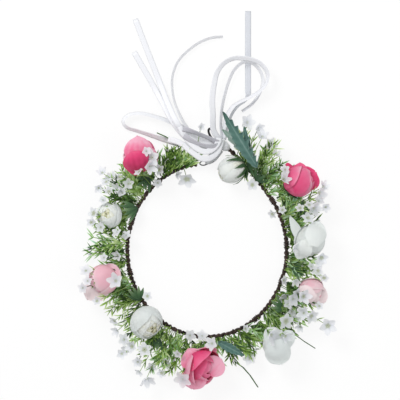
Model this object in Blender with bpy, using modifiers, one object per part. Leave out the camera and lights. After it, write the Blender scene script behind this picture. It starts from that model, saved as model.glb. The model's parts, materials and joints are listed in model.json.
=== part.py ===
"""Flower crown: an open band of two twisted vine strands, tied with satin ribbon.

Ten flower heads on wire stems, sprays of small star flowers and two leaves are taped to the band.
The crown lies flat, the ribbon side towards +Y. Lengths are in metres, angles in degrees.
"""
import math
from collections import namedtuple

import bmesh
import bpy
from mathutils import Matrix, Vector

for old in list(bpy.data.objects):
    bpy.data.objects.remove(old)

# Band
OPENING_WIDTH = 0.166
OPENING_LENGTH = 0.181
STRAND_DIAMETER = 0.0028
STRAND_TURNS = 15
POINTS_PER_TURN = 7
LEFT_END = 97.0
RIGHT_END = 445.0
FLARE_START = 400.0
FLARE_REACH = 0.0255
GAP = 0.0003

# Tape bindings
BINDING_LENGTH = 0.0105
BINDING_SIDES = 12
STEM_DIAMETER = 0.0016

# Flower heads
PETAL_WALL = 0.0008
PETAL_STEP = 0.0016
SEPAL_WALL = 0.0007
SEPAL_COUNT = 5
FOOT_DIAMETER = 0.0026

# Ribbon
RIBBON_WIDTH = 0.00635
RIBBON_WALL = 0.0003
GATHER = 0.66
KNOT_LENGTH = 0.016
KNOT_ANGLE = 441.0
LOOP_WIRE = 0.0016
LOOP_WIDTH = 0.0112
LOOP_LENGTH = 0.0142
LOOP_NECK = 0.002

# Sprays
STAR_DIAMETER = 0.0092
STAR_WALL = 0.0008
TWIG_DIAMETER = 0.0011
FAN_LENGTH = 0.0190
FAN_WALL = 0.0006
FAN_NEEDLES = 6
FAN_SPREAD = 62.0
LEAF_WALL = 0.0007

# Sizes that follow from the ones above
STRAND_LAY = STRAND_DIAMETER / 2 + GAP / 2
BAND_RADIUS = STRAND_LAY + STRAND_DIAMETER / 2
HALF_FACET = math.cos(math.pi / BINDING_SIDES)
BINDING_BORE = (BAND_RADIUS + GAP) / HALF_FACET
BINDING_OUTER = BINDING_BORE + STEM_DIAMETER
BAND_HEIGHT = BINDING_OUTER * HALF_FACET
KNOT_BORE = BAND_RADIUS + GAP
KNOT_RADIUS = BAND_HEIGHT + 0.0006
KNOT_LIFT = KNOT_RADIUS - BAND_HEIGHT + GAP

crown = bpy.data.collections.new("flower_crown")
bpy.context.scene.collection.children.link(crown)
cutters = bpy.data.collections.new("cutters")
bpy.context.scene.collection.children.link(cutters)

root = bpy.data.objects.new("crown_root", None)
crown.objects.link(root)


def material(name, colour, roughness):
    made = bpy.data.materials.new(name)
    made.use_nodes = True
    shader = made.node_tree.nodes["Principled BSDF"]
    shader.inputs["Base Color"].default_value = (*colour, 1.0)
    shader.inputs["Roughness"].default_value = roughness
    made.diffuse_color = (*colour, 1.0)
    return made


VINE = material("vine", (0.055, 0.032, 0.022), 0.8)
WIRE = material("dark_wire", (0.02, 0.018, 0.016), 0.5)
TAPE = material("green_tape", (0.10, 0.16, 0.05), 0.7)
STEM = material("stem_green", (0.13, 0.26, 0.06), 0.6)
HOT_PINK = material("hot_pink_petal", (0.75, 0.05, 0.2), 0.6)
PALE_PINK = material("pale_pink_petal", (0.85, 0.42, 0.52), 0.6)
WHITE = material("white_petal", (0.82, 0.83, 0.76), 0.6)
SPRAY = material("spray_green", (0.28, 0.42, 0.12), 0.6)
MILLER = material("grey_green_leaf", (0.13, 0.28, 0.22), 0.7)
LEAF = material("dark_leaf", (0.05, 0.14, 0.03), 0.5)
SATIN = material("white_satin", (0.85, 0.85, 0.88), 0.35)


def finish(obj, finish_material, parent=root):
    """Puts a part in the crown's collection, under its parent, with its own material."""
    obj.data.materials.clear()
    obj.data.materials.append(finish_material)
    for owner in list(obj.users_collection):
        owner.objects.unlink(obj)
    crown.objects.link(obj)
    place = obj.matrix_world.copy()
    obj.parent = parent
    obj.matrix_parent_inverse = parent.matrix_world.inverted()
    obj.matrix_world = place
    return obj


def mesh_object(name, bm):
    mesh = bpy.data.meshes.new(name)
    bm.to_mesh(mesh)
    bm.free()
    obj = bpy.data.objects.new(name, mesh)
    cutters.objects.link(obj)
    return obj


def baked(obj):
    """Turns an object with modifiers, or a curve, into a plain welded mesh object."""
    bpy.context.view_layer.update()
    seen = obj.evaluated_get(bpy.context.evaluated_depsgraph_get())
    mesh = bpy.data.meshes.new_from_object(seen)
    bm = bmesh.new()
    bm.from_mesh(mesh)
    bmesh.ops.remove_doubles(bm, verts=bm.verts, dist=0.000005)
    bmesh.ops.dissolve_limit(bm, angle_limit=math.radians(0.5), verts=bm.verts, edges=bm.edges)
    bmesh.ops.recalc_face_normals(bm, faces=bm.faces)
    name = obj.name
    place = obj.matrix_world.copy()
    bpy.data.objects.remove(obj)
    made = mesh_object(name, bm)
    made.name = name
    made.matrix_world = place
    return made


def tube_curve(name, points, diameter, resolution, radii=None):
    curve = bpy.data.curves.new(name, "CURVE")
    curve.dimensions = "3D"
    curve.bevel_depth = diameter / 2
    curve.bevel_resolution = resolution
    curve.use_fill_caps = True
    spline = curve.splines.new("POLY")
    spline.points.add(len(points) - 1)
    for index, (slot, point) in enumerate(zip(spline.points, points)):
        slot.co = (*point, 1.0)
        slot.radius = radii[index] if radii else 1.0
    obj = bpy.data.objects.new(name, curve)
    cutters.objects.link(obj)
    return obj


def fuse(body, pieces):
    """Joins overlapping pieces into one closed body."""
    for piece in pieces:
        join = body.modifiers.new("join", "BOOLEAN")
        join.operation = "UNION"
        join.solver = "EXACT"
        join.object = piece
    whole = baked(body)
    for piece in pieces:
        bpy.data.objects.remove(piece)
    return whole


def smooth_path(points, samples):
    """Passes a smooth line through the points; each may carry more numbers than three."""
    path = []
    last = len(points) - 1
    for index in range(last):
        before = points[max(index - 1, 0)]
        here = points[index]
        there = points[index + 1]
        after = points[min(index + 2, last)]
        for step in range(samples):
            t = step / samples
            path.append([
                0.5 * (2 * b + (c - a) * t + (2 * a - 5 * b + 4 * c - d) * t * t
                       + (3 * b - a - 3 * c + d) * t ** 3)
                for a, b, c, d in zip(before, here, there, after)])
    path.append(list(points[last]))
    return path


def band_point(angle):
    turn = math.radians(angle)
    half_width = OPENING_WIDTH / 2 + BAND_RADIUS
    half_length = OPENING_LENGTH / 2 + BAND_RADIUS
    radius = 1 / math.hypot(math.cos(turn) / half_width, math.sin(turn) / half_length)
    beyond = max(0.0, (angle - FLARE_START) / (RIGHT_END - FLARE_START))
    radius += FLARE_REACH * beyond ** 2
    return Vector((radius * math.cos(turn), radius * math.sin(turn), BAND_HEIGHT))


def band_frame(angle):
    """The band's middle at an angle, its direction there, and the outward direction."""
    along = (band_point(angle + 0.05) - band_point(angle - 0.05)).normalized()
    return band_point(angle), along, along.cross(Vector((0, 0, 1)))


def strand(name, phase):
    steps = STRAND_TURNS * POINTS_PER_TURN
    points = []
    for step in range(steps + 1):
        part = step / steps
        middle, along, outward = band_frame(LEFT_END + (RIGHT_END - LEFT_END) * part)
        turn = phase + 2 * math.pi * STRAND_TURNS * part
        points.append(middle + STRAND_LAY * (math.cos(turn) * outward + math.sin(turn) * Vector((0, 0, 1))))
    finish(baked(tube_curve(name, points, STRAND_DIAMETER, 1)), VINE)


strand("vine_strand_a", 0.0)
strand("vine_strand_b", math.pi)


def end_loop(name, angle, sign, tilt):
    """A ring of wire on a short neck, in line with the band's end."""
    middle, along, outward = band_frame(angle)
    ahead = along * sign
    start = middle + ahead * GAP
    centre = start + ahead * (LOOP_NECK + LOOP_LENGTH / 2)
    bm = bmesh.new()
    bmesh.ops.create_circle(bm, segments=14, radius=1.0)
    half_wide = (LOOP_WIDTH - LOOP_WIRE) / 2
    half_long = (LOOP_LENGTH - LOOP_WIRE) / 2
    sideways = (outward * math.cos(tilt) + Vector((0, 0, 1)) * math.sin(tilt))
    ring = [centre + ahead * half_long * v.co.x + sideways * half_wide * v.co.y for v in bm.verts]
    bm.free()
    wire = tube_curve(name, ring, LOOP_WIRE, 1)
    wire.data.splines[0].use_cyclic_u = True
    neck_end = start + ahead * (LOOP_NECK + LOOP_WIRE * 0.6)
    neck = baked(tube_curve("neck", [start, neck_end], LOOP_WIRE * 1.3, 1))
    finish(fuse(baked(wire), [neck]), WIRE)
    return centre, ahead


left_ring, left_ahead = end_loop("end_loop_left", LEFT_END, -1, 0.0)
right_ring, right_ahead = end_loop("end_loop_right", RIGHT_END, 1, math.radians(40))


def binding(name, angle):
    """A turned ring of tape. One of its facets lies flat on the table."""
    half = BINDING_LENGTH / 2
    bm = bmesh.new()
    corners = [(BINDING_BORE, -half), (BINDING_OUTER, -half), (BINDING_OUTER, half), (BINDING_BORE, half)]
    verts = [bm.verts.new((radius, 0, z)) for radius, z in corners]
    for index in range(4):
        bm.edges.new((verts[index], verts[(index + 1) % 4]))
    ring = mesh_object(name, bm)
    screw = ring.modifiers.new("turn", "SCREW")
    screw.axis = "Z"
    screw.steps = BINDING_SIDES
    screw.render_steps = BINDING_SIDES
    screw.use_merge_vertices = True
    screw.merge_threshold = 0.00001
    middle, along, outward = band_frame(angle)
    turned = Matrix((outward, Vector((0, 0, 1)), -along)).transposed().to_4x4()
    ring.matrix_world = Matrix.Translation(middle) @ turned @ Matrix.Rotation(math.pi / BINDING_SIDES, 4, "Z")
    finish(baked(ring), TAPE)


def cup(name, radius, centre_height, petals, wall, step, rim, dip, per_petal, rings):
    """A bowl of overlapping petals: the lower part of an egg, stepped out at each petal's edge."""
    bm = bmesh.new()
    bmesh.ops.create_uvsphere(bm, u_segments=petals * per_petal, v_segments=rings + 2, radius=1.0)
    top = [v for v in bm.verts if v.co.z > math.cos(math.pi * 1.5 / (rings + 2))]
    bmesh.ops.delete(bm, geom=top, context="VERTS")
    low = math.pi * rings / (rings + 2)
    for v in bm.verts:
        rise = math.acos(max(-1.0, min(1.0, -v.co.z))) / low
        rise = min(rise, (rings + 1) / rings)
        rise *= rings / (rings + 1)
        place = (math.atan2(v.co.y, v.co.x) / (2 * math.pi) % 1.0) * petals
        number = math.floor(place + 0.001)
        across = min(max(place - number, 0.0) * 0.94 * per_petal / (per_petal - 1), 0.94)
        edge = (2 * across / 0.94 - 1) ** 2
        lift = rise * rim * (1 - dip * edge * rise)
        out = step * (1 - across) * min(1.0, 2.5 * rise)
        turn = (number + across) / petals * 2 * math.pi
        spread = (radius * math.sin(lift) + out) if rise > 0.001 else 0.0
        v.co = (spread * math.cos(turn), spread * math.sin(turn), centre_height * (1 - math.cos(lift)))
    made = mesh_object(name, bm)
    shell = made.modifiers.new("wall", "SOLIDIFY")
    shell.thickness = wall
    shell.offset = -1
    return made


def globe(name, radius, half_height, base, petals, ridge, around, rings):
    """A closed egg of furled petals, with spiral edges that run up to the tip."""
    bm = bmesh.new()
    bmesh.ops.create_uvsphere(bm, u_segments=around, v_segments=rings, radius=1.0)
    for v in bm.verts:
        lift = math.acos(max(-1.0, min(1.0, -v.co.z)))
        turn = math.atan2(v.co.y, v.co.x)
        furl = (turn / (2 * math.pi) * petals + 1.1 * lift / math.pi) % 1.0
        size = 1 - ridge * furl * math.sin(lift)
        spread = radius * math.sin(lift) * size
        v.co = (spread * math.cos(turn), spread * math.sin(turn), base + half_height * (1 - math.cos(lift)))
    return mesh_object(name, bm)


Flower = namedtuple("Flower", "name kind band reach shift lift facing climb width height")
FLOWERS = [
    Flower("rose_1", HOT_PINK, 126.0, 0.0360, 0.000, 0.0185, 140, 32, 0.0375, 0.0350),
    Flower("ranunculus_1", WHITE, 159.6, 0.0250, 0.000, 0.0150, 172, 58, 0.0310, 0.0270),
    Flower("rose_2", PALE_PINK, 196.4, 0.0290, 0.000, 0.0160, 212, 30, 0.0350, 0.0330),
    Flower("ranunculus_2", WHITE, 230.3, 0.0150, 0.000, 0.0210, 262, 58, 0.0350, 0.0300),
    Flower("rose_3", HOT_PINK, 267.0, 0.0310, 0.000, 0.0192, 300, 40, 0.0400, 0.0360),
    Flower("ranunculus_3", WHITE, 305.3, 0.0350, 0.000, 0.0160, 300, 42, 0.0340, 0.0300),
    Flower("rose_4", PALE_PINK, 337.5, 0.0335, 0.000, 0.0150, 345, 38, 0.0315, 0.0300),
    Flower("ranunculus_4", WHITE, 3.8, 0.0275, 0.000, 0.0150, 8, 42, 0.0320, 0.0290),
    Flower("rose_5", HOT_PINK, 36.9, 0.0350, 0.000, 0.0184, 34, 36, 0.0370, 0.0350),
    Flower("ranunculus_5", WHITE, 423.5, -0.0150, 0.006, 0.0155, 200, 8, 0.0290, 0.0280),
]


def flower(plan):
    """A flower head on its wire stem. The stem's foot turns about the band's direction."""
    middle, along, outward = band_frame(plan.band)
    side = 1.0 if plan.reach > 0 else -1.0
    hinge_up = 0.35 if plan.reach > 0 else 0.80
    foot_line = (outward * side * math.sqrt(1 - hinge_up ** 2) + Vector((0, 0, hinge_up)))
    foot = middle + foot_line * (BINDING_OUTER + GAP + FOOT_DIAMETER / 2)
    head = middle + outward * plan.reach + along * plan.shift + Vector((0, 0, plan.lift))
    turn = math.radians(plan.facing)
    climb = math.radians(plan.climb)
    axis = Vector((math.cos(turn) * math.cos(climb), math.sin(turn) * math.cos(climb), math.sin(climb)))
    base = head - axis * plan.height / 2
    hinge = bpy.data.objects.new(plan.name + "_hinge", None)
    crown.objects.link(hinge)
    hinge.parent = root
    hinge.location = foot
    bpy.context.view_layer.update()
    frame = Matrix.Translation(base) @ axis.to_track_quat("Z", "Y").to_matrix().to_4x4()

    rose = plan.kind is not WHITE
    step = PETAL_STEP if rose else 0.0
    radius = plan.width / 2 - step
    half_height = plan.height / 2
    if rose:
        petals = cup(plan.name + "_petals", radius, half_height, 5, PETAL_WALL, step, 1.85, 0.16, 4, 4)
        petals.matrix_world = frame
        finish(baked(petals), plan.kind, hinge)
        inset = PETAL_WALL + GAP
        heart = globe(plan.name + "_heart", radius - inset, half_height - inset, inset, 3, 0.16, 12, 7)
    else:
        heart = globe(plan.name + "_petals", radius, half_height, 0.0, 4, 0.12, 16, 9)
    heart.matrix_world = frame
    finish(heart, plan.kind, hinge)

    spread = step + GAP + SEPAL_WALL
    calyx = cup(plan.name + "_stem", radius + spread, half_height + GAP + SEPAL_WALL, SEPAL_COUNT,
                SEPAL_WALL, 0.0, 0.95, 0.62, 2, 3)
    calyx.matrix_world = frame @ Matrix.Translation((0, 0, -GAP - SEPAL_WALL))
    neck = frame @ Vector((0, 0, -GAP - SEPAL_WALL * 0.5))
    away = neck - axis * (neck - foot).length * 0.45
    rise = foot + foot_line * (neck - foot).length * 0.35
    run = []
    for step_number in range(6):
        t = step_number / 5
        run.append(foot * (1 - t) ** 3 + rise * 3 * t * (1 - t) ** 2 + away * 3 * t * t * (1 - t) + neck * t ** 3)
    stem = baked(tube_curve("stem", run, STEM_DIAMETER, 1))
    bm = bmesh.new()
    bmesh.ops.create_uvsphere(bm, u_segments=6, v_segments=4, radius=FOOT_DIAMETER / 2)
    ball = mesh_object("ball", bm)
    ball.matrix_world = Matrix.Translation(foot)
    finish(fuse(baked(calyx), [stem, ball]), STEM, hinge)


for plan in FLOWERS:
    binding("binding_" + plan.name, plan.band)
    flower(plan)


def star(centre, facing):
    """A flat flower of five petals."""
    bm = bmesh.new()
    bmesh.ops.create_circle(bm, segments=10, radius=STAR_DIAMETER / 2, cap_ends=True)
    for v in bm.verts:
        place = math.atan2(v.co.y, v.co.x) / (2 * math.pi) * 10
        if round(place) % 2:
            v.co *= 0.5
    lifted = bmesh.ops.extrude_face_region(bm, geom=list(bm.faces))
    raised = [v for v in lifted["geom"] if isinstance(v, bmesh.types.BMVert)]
    bmesh.ops.translate(bm, verts=raised, vec=(0, 0, STAR_WALL))
    bmesh.ops.recalc_face_normals(bm, faces=bm.faces)
    made = mesh_object("star", bm)
    made.matrix_world = Matrix.Translation(centre) @ facing.to_track_quat("Z", "Y").to_matrix().to_4x4()
    return made


def fan(start, direction, length):
    """A flat fan of narrow pointed leaves that share one foot."""
    count = FAN_NEEDLES * 2
    spread = math.radians(FAN_SPREAD)
    bm = bmesh.new()
    bmesh.ops.create_circle(bm, segments=count, radius=1.0, cap_ends=True)
    bm.verts.ensure_lookup_table()
    for index, v in enumerate(bm.verts):
        turn = spread * (2 * index / (count - 2) - 1)
        reach = length * (1 - 0.25 * abs(turn) / spread) * (0.36 if index % 2 else 1.0)
        v.co = (reach * math.sin(turn), 0.0, reach * math.cos(turn))
    bm.verts[count - 1].co = (0, 0, 0)
    lifted = bmesh.ops.extrude_face_region(bm, geom=list(bm.faces))
    raised = [v for v in lifted["geom"] if isinstance(v, bmesh.types.BMVert)]
    bmesh.ops.translate(bm, verts=raised, vec=(0, FAN_WALL, 0))
    bmesh.ops.recalc_face_normals(bm, faces=bm.faces)
    made = mesh_object("fan", bm)
    made.matrix_world = Matrix.Translation(start) @ direction.to_track_quat("Z", "Y").to_matrix().to_4x4()
    return made


Spray = namedtuple("Spray", "name band end shift reach lift")
SPRAYS = [
    Spray("spray_1", 126.0, -1, 0.0300, 0.016, 0.006),
    Spray("spray_2", 126.0, 1, 0.0265, 0.030, 0.009),
    Spray("spray_3", 159.6, 1, 0.0270, 0.026, 0.008),
    Spray("spray_4", 196.4, 1, 0.0290, 0.028, 0.008),
    Spray("spray_5", 230.3, 1, 0.0290, 0.026, 0.008),
    Spray("spray_6", 267.0, 1, 0.0290, 0.026, 0.008),
    Spray("spray_7", 305.3, 1, 0.0260, 0.034, 0.009),
    Spray("spray_8", 337.5, 1, 0.0230, 0.028, 0.008),
    Spray("spray_9", 3.8, 1, 0.0260, 0.032, 0.009),
    Spray("spray_10", 36.9, 1, 0.0310, 0.034, 0.009),
]


def spray(plan, number):
    """A stem from a binding's end face, with side twigs that carry stars, and needles between them."""
    middle, along, outward = band_frame(plan.band)
    ahead = along * plan.end
    up = Vector((0, 0, 1))
    foot = middle + ahead * (BINDING_LENGTH / 2 + GAP) + outward * (BINDING_BORE + STEM_DIAMETER / 2)
    run = foot + ahead * 0.004 + outward * 0.001
    turn = foot + ahead * plan.shift * 0.55 + outward * plan.reach * 0.22 + up * plan.lift * 0.4
    reach = foot + ahead * plan.shift * 0.80 + outward * plan.reach * 0.60 + up * plan.lift * 0.8
    tip = foot + ahead * plan.shift * 0.86 + outward * plan.reach + up * plan.lift
    line = [Vector(p) for p in smooth_path([foot, run, turn, reach, tip], 2)]
    stem = baked(tube_curve(plan.name, line, TWIG_DIAMETER * 1.2, 0))
    pieces = []
    for index, at in enumerate((5, 7)):
        sway = 1 if (index + number) % 2 else -1
        start = line[at]
        aim = (ahead * sway * 0.75 + outward * 0.55 + up * 0.45).normalized()
        end = start + aim * (0.0085 + 0.0015 * index)
        pieces.append(baked(tube_curve("twig", [start, end], TWIG_DIAMETER, 0)))
        pieces.append(star(end - aim * STAR_WALL * 0.3, (aim * 0.6 + up).normalized()))
    aim = (line[8] - line[7]).normalized()
    pieces.append(star(line[8] - aim * STAR_WALL * 0.3, (aim * 0.7 + up * 0.7).normalized()))
    for index, at in enumerate((4, 6)):
        sway = -1 if (index + number) % 2 else 1
        aim = (ahead * sway * 0.35 + outward * 0.9 - up * 0.12).normalized()
        pieces.append(fan(line[at] - aim * TWIG_DIAMETER * 0.5, aim, FAN_LENGTH * (1 - 0.14 * index)))
    finish(fuse(stem, pieces), SPRAY)


for number, plan in enumerate(SPRAYS):
    spray(plan, number)


def leaf(name, band, outline, stalk, tip, width, teeth, bite, finish_material):
    """A flat toothed blade on a stalk that comes out of a binding's side."""
    middle, along, outward = band_frame(band)
    foot_line = (outward * outline[0] + along * outline[1] + Vector((0, 0, outline[2]))).normalized()
    foot = middle + foot_line * (BINDING_OUTER + GAP)
    base = Vector(stalk)
    length = (Vector(tip) - base).length
    forward = (Vector(tip) - base).normalized()
    flat = forward.cross(Vector((0, 0, 1))).normalized()
    upright = flat.cross(forward)
    right = []
    left = []
    count = teeth * 2
    for index in range(1, count):
        t = index / count
        half = width / 2 * math.sin(math.pi * t ** 0.75) ** 0.8 * (1.0 if index % 2 else 1 - bite)
        right.append((t * length, half))
        left.append((t * length, -half))
    points = [(0.0, 0.0)] + right + [(length, 0.0)] + left[::-1]
    curve = bpy.data.curves.new(name, "CURVE")
    curve.dimensions = "2D"
    curve.fill_mode = "BOTH"
    curve.extrude = LEAF_WALL / 2
    spline = curve.splines.new("POLY")
    spline.points.add(len(points) - 1)
    for slot, point in zip(spline.points, points):
        slot.co = (*point, 0.0, 1.0)
    spline.use_cyclic_u = True
    blade = bpy.data.objects.new(name, curve)
    cutters.objects.link(blade)
    blade.matrix_world = Matrix.Translation(base) @ Matrix((forward, -flat, upright)).transposed().to_4x4()
    middle_point = (foot + base) / 2 + Vector((0, 0, 0.001))
    end = base + forward * length * 0.55
    vein = baked(tube_curve("vein", [foot, middle_point, base, end], TWIG_DIAMETER, 1, [1, 1, 1, 0.6]))
    finish(fuse(baked(blade), [vein]), finish_material)


leaf("toothed_leaf", 423.5, (0.8, 0.0, 0.6), (0.0500, 0.1010, 0.0165), (0.0180, 0.1470, 0.0230),
     0.017, 5, 0.34, MILLER)
leaf("dark_leaf", 267.0, (0.25, 0.0, 0.97), (0.0120, -0.0985, 0.0150), (0.0400, -0.1130, 0.0180),
     0.017, 6, 0.10, LEAF)

# The knot closes round the band's right end
knot_middle, knot_along, knot_outward = band_frame(KNOT_ANGLE)
knot_centre = knot_middle + Vector((0, 0, KNOT_LIFT))
bm = bmesh.new()
bmesh.ops.create_uvsphere(bm, u_segments=12, v_segments=8, radius=1.0)
knot = mesh_object("ribbon_knot", bm)
knot_turn = Matrix((knot_along.cross(Vector((0, 0, 1))), Vector((0, 0, 1)), -knot_along)).transposed().to_4x4()
knot.matrix_world = (Matrix.Translation(knot_centre) @ knot_turn
                     @ Matrix.Diagonal((KNOT_RADIUS, KNOT_RADIUS, KNOT_LENGTH / 2, 1)))
bore_line = [band_point(KNOT_ANGLE + 0.5 * step) for step in range(-14, 15, 4)]
bore = baked(tube_curve("knot_bore", bore_line, KNOT_BORE * 2 / HALF_FACET, 4))
cut = knot.modifiers.new("bore", "BOOLEAN")
cut.operation = "DIFFERENCE"
cut.solver = "EXACT"
cut.object = bore
knot = baked(knot)
bpy.data.objects.remove(bore)
finish(knot, SATIN)


def knot_exit(target, height, roll=0):
    """Where a ribbon that heads for a point leaves the knot at a height, with the gap kept."""
    upright = RIBBON_WIDTH / 2 * math.sin(math.radians(roll))
    nearest = min(max(knot_centre.z, height - upright), height + upright)
    aim = Vector((target[0] - knot_centre.x, target[1] - knot_centre.y, 0)).normalized()
    rest = 1 - ((nearest - knot_centre.z) / KNOT_RADIUS) ** 2
    per = math.hypot(aim.dot(knot_along) / (KNOT_LENGTH / 2), aim.dot(knot_outward) / KNOT_RADIUS)
    reach = math.sqrt(max(rest, 0.0)) / per + GAP + RIBBON_WALL
    return knot_centre.x + aim.x * reach, knot_centre.y + aim.y * reach, height


def ribbon(name, route, samples=2):
    """A satin strip along a route of x, y, z and roll: 0 lies flat, 90 stands on its edge."""
    path = smooth_path(route, samples)
    bm = bmesh.new()
    bmesh.ops.create_grid(bm, x_segments=len(path) - 1, y_segments=1, size=1.0)
    for v in bm.verts:
        index = round((v.co.x + 1) / 2 * (len(path) - 1))
        ahead = Vector(path[min(index + 1, len(path) - 1)][:3]) - Vector(path[max(index - 1, 0)][:3])
        flat = Vector((0, 0, 1)).cross(ahead).normalized()
        upright = ahead.normalized().cross(flat)
        roll = math.radians(path[index][3])
        across = flat * math.cos(roll) + upright * math.sin(roll)
        v.co = Vector(path[index][:3]) + across * (RIBBON_WIDTH / 2) * round(v.co.y)
    strip = mesh_object(name, bm)
    shell = strip.modifiers.new("wall", "SOLIDIFY")
    shell.thickness = RIBBON_WALL
    shell.offset = 0
    finish(baked(strip), SATIN)


def from_knot(height, roll, points):
    return [(*knot_exit(points[0], height, roll), roll)] + points


LOOP_LEFT = from_knot(0.0090, 0, [
    (-0.002, 0.1165, 0.0088, 8), (-0.014, 0.1250, 0.0078, 14), (-0.026, 0.1320, 0.0072, 25),
    (-0.040, 0.1385, 0.0078, 45), (-0.056, 0.1440, 0.0082, 60), (-0.072, 0.1475, 0.0080, 70),
    (-0.085, 0.1455, 0.0078, 80), (-0.0905, 0.1385, 0.0076, 85), (-0.086, 0.1320, 0.0074, 80),
    (-0.074, 0.1280, 0.0072, 70), (-0.060, 0.1235, 0.0070, 50), (-0.046, 0.1190, 0.0068, 30),
    (-0.032, 0.1150, 0.0066, 12), (-0.016, 0.1115, 0.0072, 4), (-0.004, 0.1095, 0.0080, 0)])
LOOP_LEFT.append((*knot_exit((-0.004, 0.1095), 0.0082), 0))
LOOP_RIGHT = from_knot(0.0084, 6, [
    (0.0070, 0.1290, 0.0094, 8), (0.0063, 0.1460, 0.0112, 10), (0.0057, 0.1620, 0.0125, 14),
    (0.0076, 0.1780, 0.0132, 22), (0.0113, 0.1920, 0.0136, 35), (0.0195, 0.2020, 0.0138, 45),
    (0.0292, 0.2063, 0.0138, 48), (0.0389, 0.2063, 0.0138, 46), (0.0486, 0.2047, 0.0138, 45),
    (0.0572, 0.2009, 0.0138, 52), (0.0637, 0.1933, 0.0136, 60), (0.0653, 0.1858, 0.0134, 68),
    (0.0621, 0.1771, 0.0132, 78), (0.0551, 0.1701, 0.0130, 86), (0.0454, 0.1642, 0.0126, 90),
    (0.0356, 0.1598, 0.0122, 90), (0.0270, 0.1540, 0.0116, 90), (0.0213, 0.1450, 0.0108, 90),
    (0.0185, 0.1330, 0.0096, 90)])
LOOP_RIGHT.append((*knot_exit((0.0185, 0.1330), 0.0090, 90), 90))
TAIL_RIGHT_CURL = from_knot(0.0082, 90, [
    (0.0150, 0.1330, 0.0074, 90), (0.0156, 0.1490, 0.0052, 90), (0.0184, 0.1642, 0.0044, 90),
    (0.0227, 0.1793, 0.0044, 90), (0.0281, 0.1922, 0.0048, 90), (0.0356, 0.2005, 0.0052, 90),
    (0.0432, 0.2030, 0.0052, 90), (0.0508, 0.2005, 0.0048, 90), (0.0572, 0.1933, 0.0042, 90),
    (0.0603, 0.1836, 0.0040, 90), (0.0589, 0.1750, 0.0039, 90), (0.0545, 0.1652, 0.0038, 90),
    (0.0475, 0.1566, 0.0038, 90), (0.0378, 0.1496, 0.0038, 90)])
TAIL_STRAIGHT = from_knot(0.0050, 90, [
    (0.0215, 0.1290, 0.0046, 90), (0.0262, 0.1450, 0.0042, 90), (0.0335, 0.1556, 0.0040, 90),
    (0.0405, 0.1605, 0.0038, 82), (0.0440, 0.1665, 0.0026, 40), (0.0443, 0.1750, 0.0006, 0),
    (0.0443, 0.2050, 0.0005, 0), (0.0443, 0.2320, 0.0005, 0), (0.0443, 0.2580, 0.0005, 0)])
TAIL_LEFT_CURL = from_knot(0.0097, 0, [
    (-0.003, 0.1135, 0.0096, 2), (-0.014, 0.1215, 0.0096, 8), (-0.0225, 0.1330, 0.0115, 60),
    (-0.0295, 0.1460, 0.0115, 80), (-0.0355, 0.1620, 0.0080, 90), (-0.0378, 0.1800, 0.0048, 90),
    (-0.0355, 0.1940, 0.0040, 90), (-0.0300, 0.2050, 0.0038, 90), (-0.0205, 0.2150, 0.0038, 90),
    (-0.0076, 0.2241, 0.0038, 90), (0.0054, 0.2290, 0.0038, 90), (0.0173, 0.2300, 0.0038, 90)])
TAIL_LEFT_SHORT = from_knot(0.0102, 0, [
    (-0.004, 0.1120, 0.0106, 0), (-0.017, 0.1175, 0.0116, 0), (-0.0275, 0.1260, 0.0125, 2),
    (-0.0385, 0.1410, 0.0128, 2), (-0.0480, 0.1590, 0.0062, 0), (-0.0550, 0.1720, 0.0014, 0),
    (-0.0636, 0.1875, 0.0005, 0), (-0.0788, 0.2138, 0.0005, 0)])
TAIL_LEFT_LONG = from_knot(0.0108, 0, [
    (-0.003, 0.1130, 0.0118, 0), (-0.016, 0.1185, 0.0134, 0), (-0.0255, 0.1275, 0.0146, 2),
    (-0.0345, 0.1410, 0.0148, 2), (-0.0430, 0.1600, 0.0084, 0), (-0.0480, 0.1730, 0.0034, 0),
    (-0.0529, 0.1858, 0.0010, 0), (-0.0648, 0.2160, 0.0005, 0), (-0.0775, 0.2495, 0.0005, 0)])

ribbon("ribbon_loop_left", LOOP_LEFT)
ribbon("ribbon_loop_right", LOOP_RIGHT)
ribbon("ribbon_tail_right_curl", TAIL_RIGHT_CURL)
ribbon("ribbon_tail_straight", TAIL_STRAIGHT)
ribbon("ribbon_tail_left_curl", TAIL_LEFT_CURL)
ribbon("ribbon_tail_left_short", TAIL_LEFT_SHORT)
ribbon("ribbon_tail_left_long", TAIL_LEFT_LONG)

# The tie goes through the left end loop, round the wire on the knot's side, and back to the knot
bend = LOOP_WIRE / 2 + GAP + RIBBON_WALL / 2
toward = Vector((knot_centre.x - left_ring.x, knot_centre.y - left_ring.y, 0)).normalized()
half_long = (LOOP_LENGTH - LOOP_WIRE) / 2
half_wide = (LOOP_WIDTH - LOOP_WIRE) / 2
left_side = left_ahead.cross(Vector((0, 0, 1)))
long_part = half_long ** 2 * toward.dot(left_ahead)
wide_part = half_wide ** 2 * toward.dot(left_side)
reach = math.hypot(half_long * toward.dot(left_ahead), half_wide * toward.dot(left_side))
tip = left_ring + (left_ahead * long_part + left_side * wide_part) / reach
depth = bend + RIBBON_WIDTH ** 2 / 8 / half_wide + GAP
tie = [(*knot_exit((tip.x, tip.y), BAND_HEIGHT + bend), 0)]
over = []
for step in range(7):
    turn = math.pi * step / 6
    point = tip - toward * depth * math.sin(turn) + Vector((0, 0, bend * math.cos(turn)))
    over.append(point)
tie.append((*(over[0] + toward * 0.006), 0))
path = [Vector(p[:3]) for p in tie] + over
path += [over[-1] + toward * 0.006, Vector(knot_exit((tip.x, tip.y), BAND_HEIGHT - bend))]
bm = bmesh.new()
bmesh.ops.create_grid(bm, x_segments=len(path) - 1, y_segments=1, size=1.0)
across = toward.cross(Vector((0, 0, 1)))
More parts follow.
